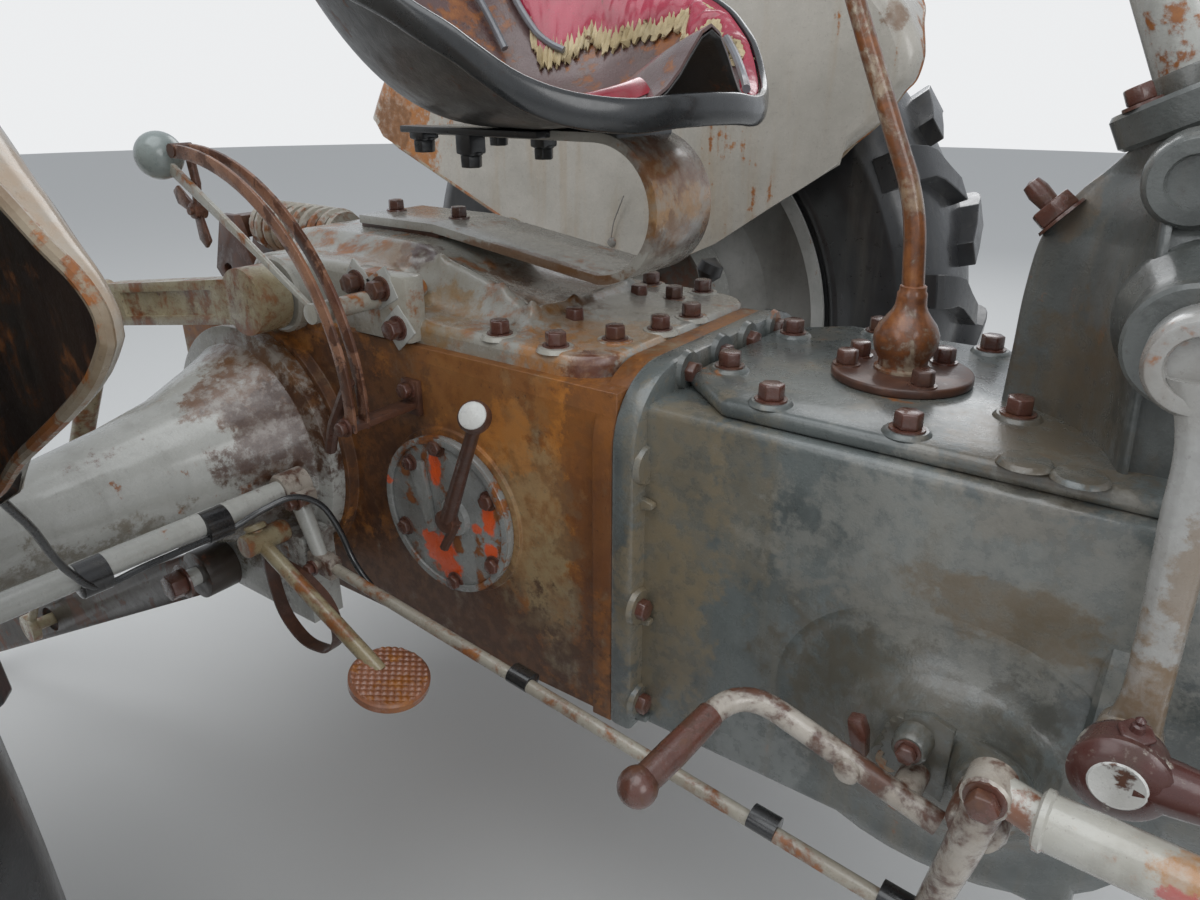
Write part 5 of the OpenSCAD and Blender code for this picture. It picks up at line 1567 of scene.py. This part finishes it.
def make_brake_parts():
    route = [
        (-798, -553, 173.2), (-799, -550, 160), (-808, -543, 144), (-824, -532, 124), (-850, -514, 91),
        (-884, -494, 46), (-908, -476, 12), (-925, -452, -19), (-927.8, -408, -19.9), (-927.8, -364, -19.9),
        (-926, -322, -19), (-914, -287, -6), (-904, -257, -1), (-894, -233, -17), (-885, -220, -51),
        (-872, -217, -85), (-845, -218.5, -106), (-800, -225.5, -113.5), (-740, -227.3, -116.2),
        (-680, -228.1, -122.1), (-620, -228.8, -128), (-550, -229.7, -134.9), (-480, -230.5, -141.8),
        (-410, -231.4, -148.7), (-350, -232.1, -154.6), (-296, -232.8, -159.9)
    ]
    steps = 5
    line = [mm(*passed(route, i / steps)) for i in range((len(route) - 1) * steps + 1)]
    flex = dress(bar(line, 3.4), "lamp_cable_flex", "black_plastic", finish="band_black")
    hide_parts("lamp_cable")
    wraps = []
    for y in (-452, -330):
        rings = [
            oval(mm(-936.5, y + d, -11.5), to_left, (0.7, 0, -0.7), h, h * 0.9, 2, 20)
            for d, h in ((-13, 15.5), (-12.6, 17.2), (12.6, 17.4), (13, 15.5))
        ]
        wraps.append(lofted(rings, 1))
    for share in (0.43, 0.81, 0.97):
        at = mm(FORK_X, -232, FORK_Z).lerp(mm(-236, -240, -156), share) + mm(0, 3.6, 1)
        rings = [
            oval(at + mm(d, 0, -0.1 * d), (1, 0, -0.096), to_left, h, h * 0.8, 2, 18)
            for d, h in ((-12, 9.4), (-11.6, 11.2), (11.6, 11.3), (12, 9.4))
        ]
        wraps.append(lofted(rings, 1))
    dress(wraps, "cable_tapes", "black_plastic", finish="tape")
    clamps = []
    collar, end = [(0, 16.5), (2, 19), (30, 19), (33, 16.5)], [(0, 15), (2, 16.5), (10, 16), (12, 13.5)]
    for side in (right, left):
        clamps.append(turned(collar, mm(SHAFT_X, side * 218, SHAFT_Z), (0, side, 0), 32))
        clamps.append(block(mm(-930, side * 222, -22), mm(-912, side * 246, -6), 3))
        clamps.append(turned(end, mm(SHAFT_X, side * 574, SHAFT_Z), (0, side, 0), 28))
        fork = block(mm(-12, -9, -26), mm(12, 9, 14), 3)
        clamps.append(stood(fork, mm(-897, side * 232, -93), (1, -side * 0.012, -0.096)))
        clamps.append(bar([mm(FORK_X, side * 218, FORK_Z), mm(FORK_X, side * 247, FORK_Z)], 6))
    dress(clamps, "brake_clamps", "rusty_paint", finish="rusty_rod")
    nuts = []
    for side in (right, left):
        nuts += [
            ((-918, side * 247, -14), (0, side, 0), 15, 9),
            ((FORK_X, side * 247, FORK_Z), (0, side, 0), 13, 7),
            ((-1090, side * 300, -150), (0, side, 0), 30, 18)
        ]
    bolts("brake_nuts", nuts)
    strip = [
        mm(*p)
        for p in (
            (-958, -262, -66), (-962, -262, -110), (-950, -262, -160), (-915, -262, -186), (-868, -262, -178),
            (-850, -262, -150), (-862, -262, -112), (-902, -262, -92), (-940, -262, -90)
        )
    ]
    loop = strap(rounded(strip, 30, 5), to_left, 15, 2.4)
    dress(loop, "diff_lock_return_spring", "rusty_steel")


def make_diff_lock():
    stem = bar(
        rounded([mm(-962, -272, -52), mm(-958, -272, -64), mm(-860, -270, -118), mm(-780, -268, -163)], 10),
        8.5, resolution=4
    )
    hub = turned([(0, 11.5), (2, 13), (50, 13), (53, 11.5)], mm(-958, -291.5, -64), to_left, 28)
    cap = turned([(0, 12), (3.5, 12.5), (6, 11), (6.5, 0)], mm(-961, -272, -51), (-0.4, 0, 0.9), 24)
    stalk = dress(
        [stem, hub, cap], "diff_lock_stalk", "rusty_paint", body_of_node["diff_lock_pedal"], "arm_rust"
    )
    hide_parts("diff_lock_pedal")
    tilt = Matrix.Rotation(math.radians(14), 4, "Y")
    cells, pad_r = 92, 41.6

    def pad_point(u, v):
        i, j = round(u * cells), round(v * cells)
        x, y = (min(max((k - 1) / (cells / 2 - 1) - 1, -1), 1) for k in (i, j))
        px, py = pad_r * x * math.sqrt(1 - y * y / 2), pad_r * y * math.sqrt(1 - x * x / 2)
        far = math.hypot(px, py)
        rise = 1.9 * (
            abs(math.sin(math.pi * (px + py) / 9.6)) * abs(math.sin(math.pi * (px - py) / 9.6))
        ) ** 0.7
        z = 10 + (rise if far < 39 else 0) - max(0, far - 38.5) * 0.8
        if i in (0, cells) or j in (0, cells):
            z = 0
        return mm(-769, -268, -170) + tilt @ mm(px, py, z)

    pad = sheet(cells, cells, pad_point, angle=40)
    foot = turned([(0, 40), (2, 40.5), (3, 0)], mm(-769, -268, -171), (0.242, 0, 0.97), 40)
    stub = turned([(0, 12), (22, 10), (24, 0)], mm(-771, -268, -171), (-0.242, 0, -0.97), 20)
    dress([pad, foot, stub], "diff_lock_pad", "rusty_steel", body_of_node["diff_lock_pedal"], "copper_pad")


def make_parking_lever():
    line = rounded([mm(-404, -358, -30), mm(-385, -252, -7), mm(-236, -250, -53)], 34, 8)
    lever = bar(line, 9, resolution=4)
    pivot = turned([(0, 10.5), (48, 10.5), (50, 0)], mm(-262, -200, -47.4), to_right, 24)
    rivet = turned([(0, 9.5), (3.5, 9), (5.5, 6), (6, 0)], mm(-298, -258, -35), to_right, 20)
    handle = dress([lever, pivot, rivet], "parking_lever_bar", "rusty_paint", finish="rusty_rod")
    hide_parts("parking_brake_lever")
    grip = bar([mm(-404, -358, -30), mm(-398, -325, -23), mm(-391, -285, -14)], 10.3, [1.0, 1.06, 0.98], 4)
    knob = ball(mm(-404.5, -359, -30.5), 14.2)
    dress([grip, knob], "parking_lever_grip", "rusty_steel", finish="bolt_rust")
    teeth, centre_x, centre_z = [(-242, -2), (-258, 4)], -253, -31
    for i in range(9):
        tip = math.radians(128 + 11 * i)
        for r, a in ((37, tip), (33.5, tip + 0.09)):
            teeth.append((centre_x + r * math.cos(a), centre_z + r * math.sin(a)))
    sector = side_plate(teeth + [(-242, -64)], -213, -6, 0.7)
    boss = turned([(0, 14), (24, 12.5), (26.5, 10.5)], mm(-266, -209, -18), to_right, 24)
    dress([sector, boss], "parking_lever_sector", "wet_casting")
    bolts("parking_lever_bolt", [((-266, -235, -18), to_right, 13, 6)])
    pawl = side_plate(
        [(-311, -15), (-301, -13), (-296, -24), (-294, -44), (-304, -42), (-309, -26)], -221, -11, 1.5
    )
    dress(pawl, "parking_lever_pawl", "rusty_steel", finish="bolt_rust")


def make_pedals():
    tread_tilt = math.radians(-28)
    tread_way = (math.sin(tread_tilt), 0, math.cos(tread_tilt))
    ring = [(0, 16.5), (1.8, 18.8), (5.2, 18.8), (7, 16.5)]
    sleeve = [(0, 13.5), (1.5, 15), (22, 15), (24, 13.5)]
    boss = [(0, 19), (30, 19), (36, 16), (38, 0)]
    parts, arms, nuts = [], [], []
    for side in (right, left):
        out = (0, side, 0)
        heel, collar = mm(-209, side * 272, 13), mm(-179, side * 276, 8)
        knee, toe = mm(-3, side * 288, 13), mm(87, side * 324, 89)
        low = mm(-236, side * 240, -156)
        parts.append(bar(rounded([collar, knee, toe], 30, 6), 17.2, [1 - 0.02 * i for i in range(9)], 5))
        parts.append(bar([heel, collar], 11.8, [1.0, 1.1], 4))
        parts.append(turned(ring, mm(-181, side * 276, 8), (1, side * 0.07, 0.035), 32))
        tread = [block(mm(-38, -30, -4), mm(38, 30, 4), 3)]
        tread += [block(mm(x - 2, -26, 2), mm(x + 2, 26, 6), 1) for x in (-28, -14, 0, 14, 28)]
        parts.append(stood(joined(tread), toe + mm(0, 0, 12), tread_way))
        arms.append(turned(sleeve, mm(-209, side * 262, 12), out, 32))
        shank = [mm(-209, side * 272, 10), mm(-214, side * 268, -31), low]
        arms.append(bar(shank, 11.2, [1.15, 1.1, 0.9], 4))
        arms.append(ball(low, 10.5))
        arms.append(turned(boss, mm(-213, side * 231, -31), out, 32))
        nuts.append(((-209, side * 285.5, 13), out, 18, 9))
        nuts.append(((-236, side * 250, -156), out, 13, 7))
    tubes = dress(parts, "pedal_tubes", "rusty_paint", finish="pedal_cream")
    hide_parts("pedals")
    dress(arms, "pedal_arms", "rusty_paint", finish="rusty_rod")
    bolts("pedal_nuts", nuts)


def make_steering_wheel():
    top = column_top + 37 * MM * column_way
    section = [
        (11.5 * math.cos(math.radians(a)), 205 + 11.8 * math.sin(math.radians(a)))
        for a in range(0, 360, 20)
    ]
    parts = [turned(section, top, column_way, 96, closed=True)]
    for t in (90, 210, 330):
        way = math.cos(math.radians(t)) * column_back + math.sin(math.radians(t)) * Vector((0, 1, 0))
        spoke = [top + MM * (out * way - back * column_way) for out, back in ((18, 12), (100, 9), (200, 0))]
        parts.append(bar(spoke, 8.5, [1.15, 0.9, 0.8], 4))
    hub = [(-36, 30), (-30, 34), (-12, 34), (0, 30), (6, 24), (8.5, 10), (9, 0)]
    parts.append(turned(hub, top, column_way, 40))
    wheel = dress(parts, "steering_wheel_rim", "black_plastic", body_of_node["steering_wheel"])
    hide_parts("steering_wheel")
    shaft = bar([column_top - 190 * MM * column_way, top - 30 * MM * column_way], 10.8, resolution=4)
    dress(shaft, "steering_shaft", "bare_steel", body_of_node["steering_wheel"])
    ring = turned(
        [(-12, 26.5), (-10, 28), (0, 27.5), (1, 12)], column_top - 3 * MM * column_way, column_way, 32
    )
    dress(ring, "column_top_ring", "black_paint")


# Castings and rods that keep the CAD's form, with rounded edges
# The brake back plates' finish is darkened with painted shade
own_finish = {
    "seat_spring": "spring_paint", "lift_arms": "arm_rust", "lift_rod_right": "arm_rust",
    "lift_rod_left": "arm_rust", "brake_back_plates": "brake_rust_and_shade", "side_covers": "cover_grey"
}
for name, width in (
    ("gearbox_cover", 6), ("centre_housing", 5), ("lift_arms", 3), ("seat_spring", 2), ("drive_shafts", 2),
    ("axle_housing_right", 4), ("axle_housing_left", 4), ("brake_back_plates", 2), ("top_link_rocker", 3),
    ("lower_link_right", 4), ("lower_link_left", 4), ("hub_right", 4), ("hub_left", 4),
    ("gear_lever_plate", 2), ("side_covers", 2.5), ("lift_rod_right", 1.5), ("lift_rod_left", 1.5)
):
    rounded_copy(name, width)

make_gearbox_details()
make_gear_lever()
make_lift_cover_details()
make_side_cover_details()
make_seat_spring_details()
make_quadrant()
make_draft_spring()
make_seat()
make_seat_bolts()
make_pedestal()
make_drop_arms()
make_drag_link_ends()
make_wing(left, "left", far_wing_nose, 54)
make_wing(right, "right", near_wing_nose, 67)
make_wing_details()
make_lift_cover()
for wheel_side, wheel_word in SIDES:
    make_tyre(wheel_side, wheel_word)
    make_wheel_details(wheel_side, wheel_word)
make_gearbox()
make_brake_parts()
make_diff_lock()
make_parking_lever()
make_pedals()
make_steering_wheel()
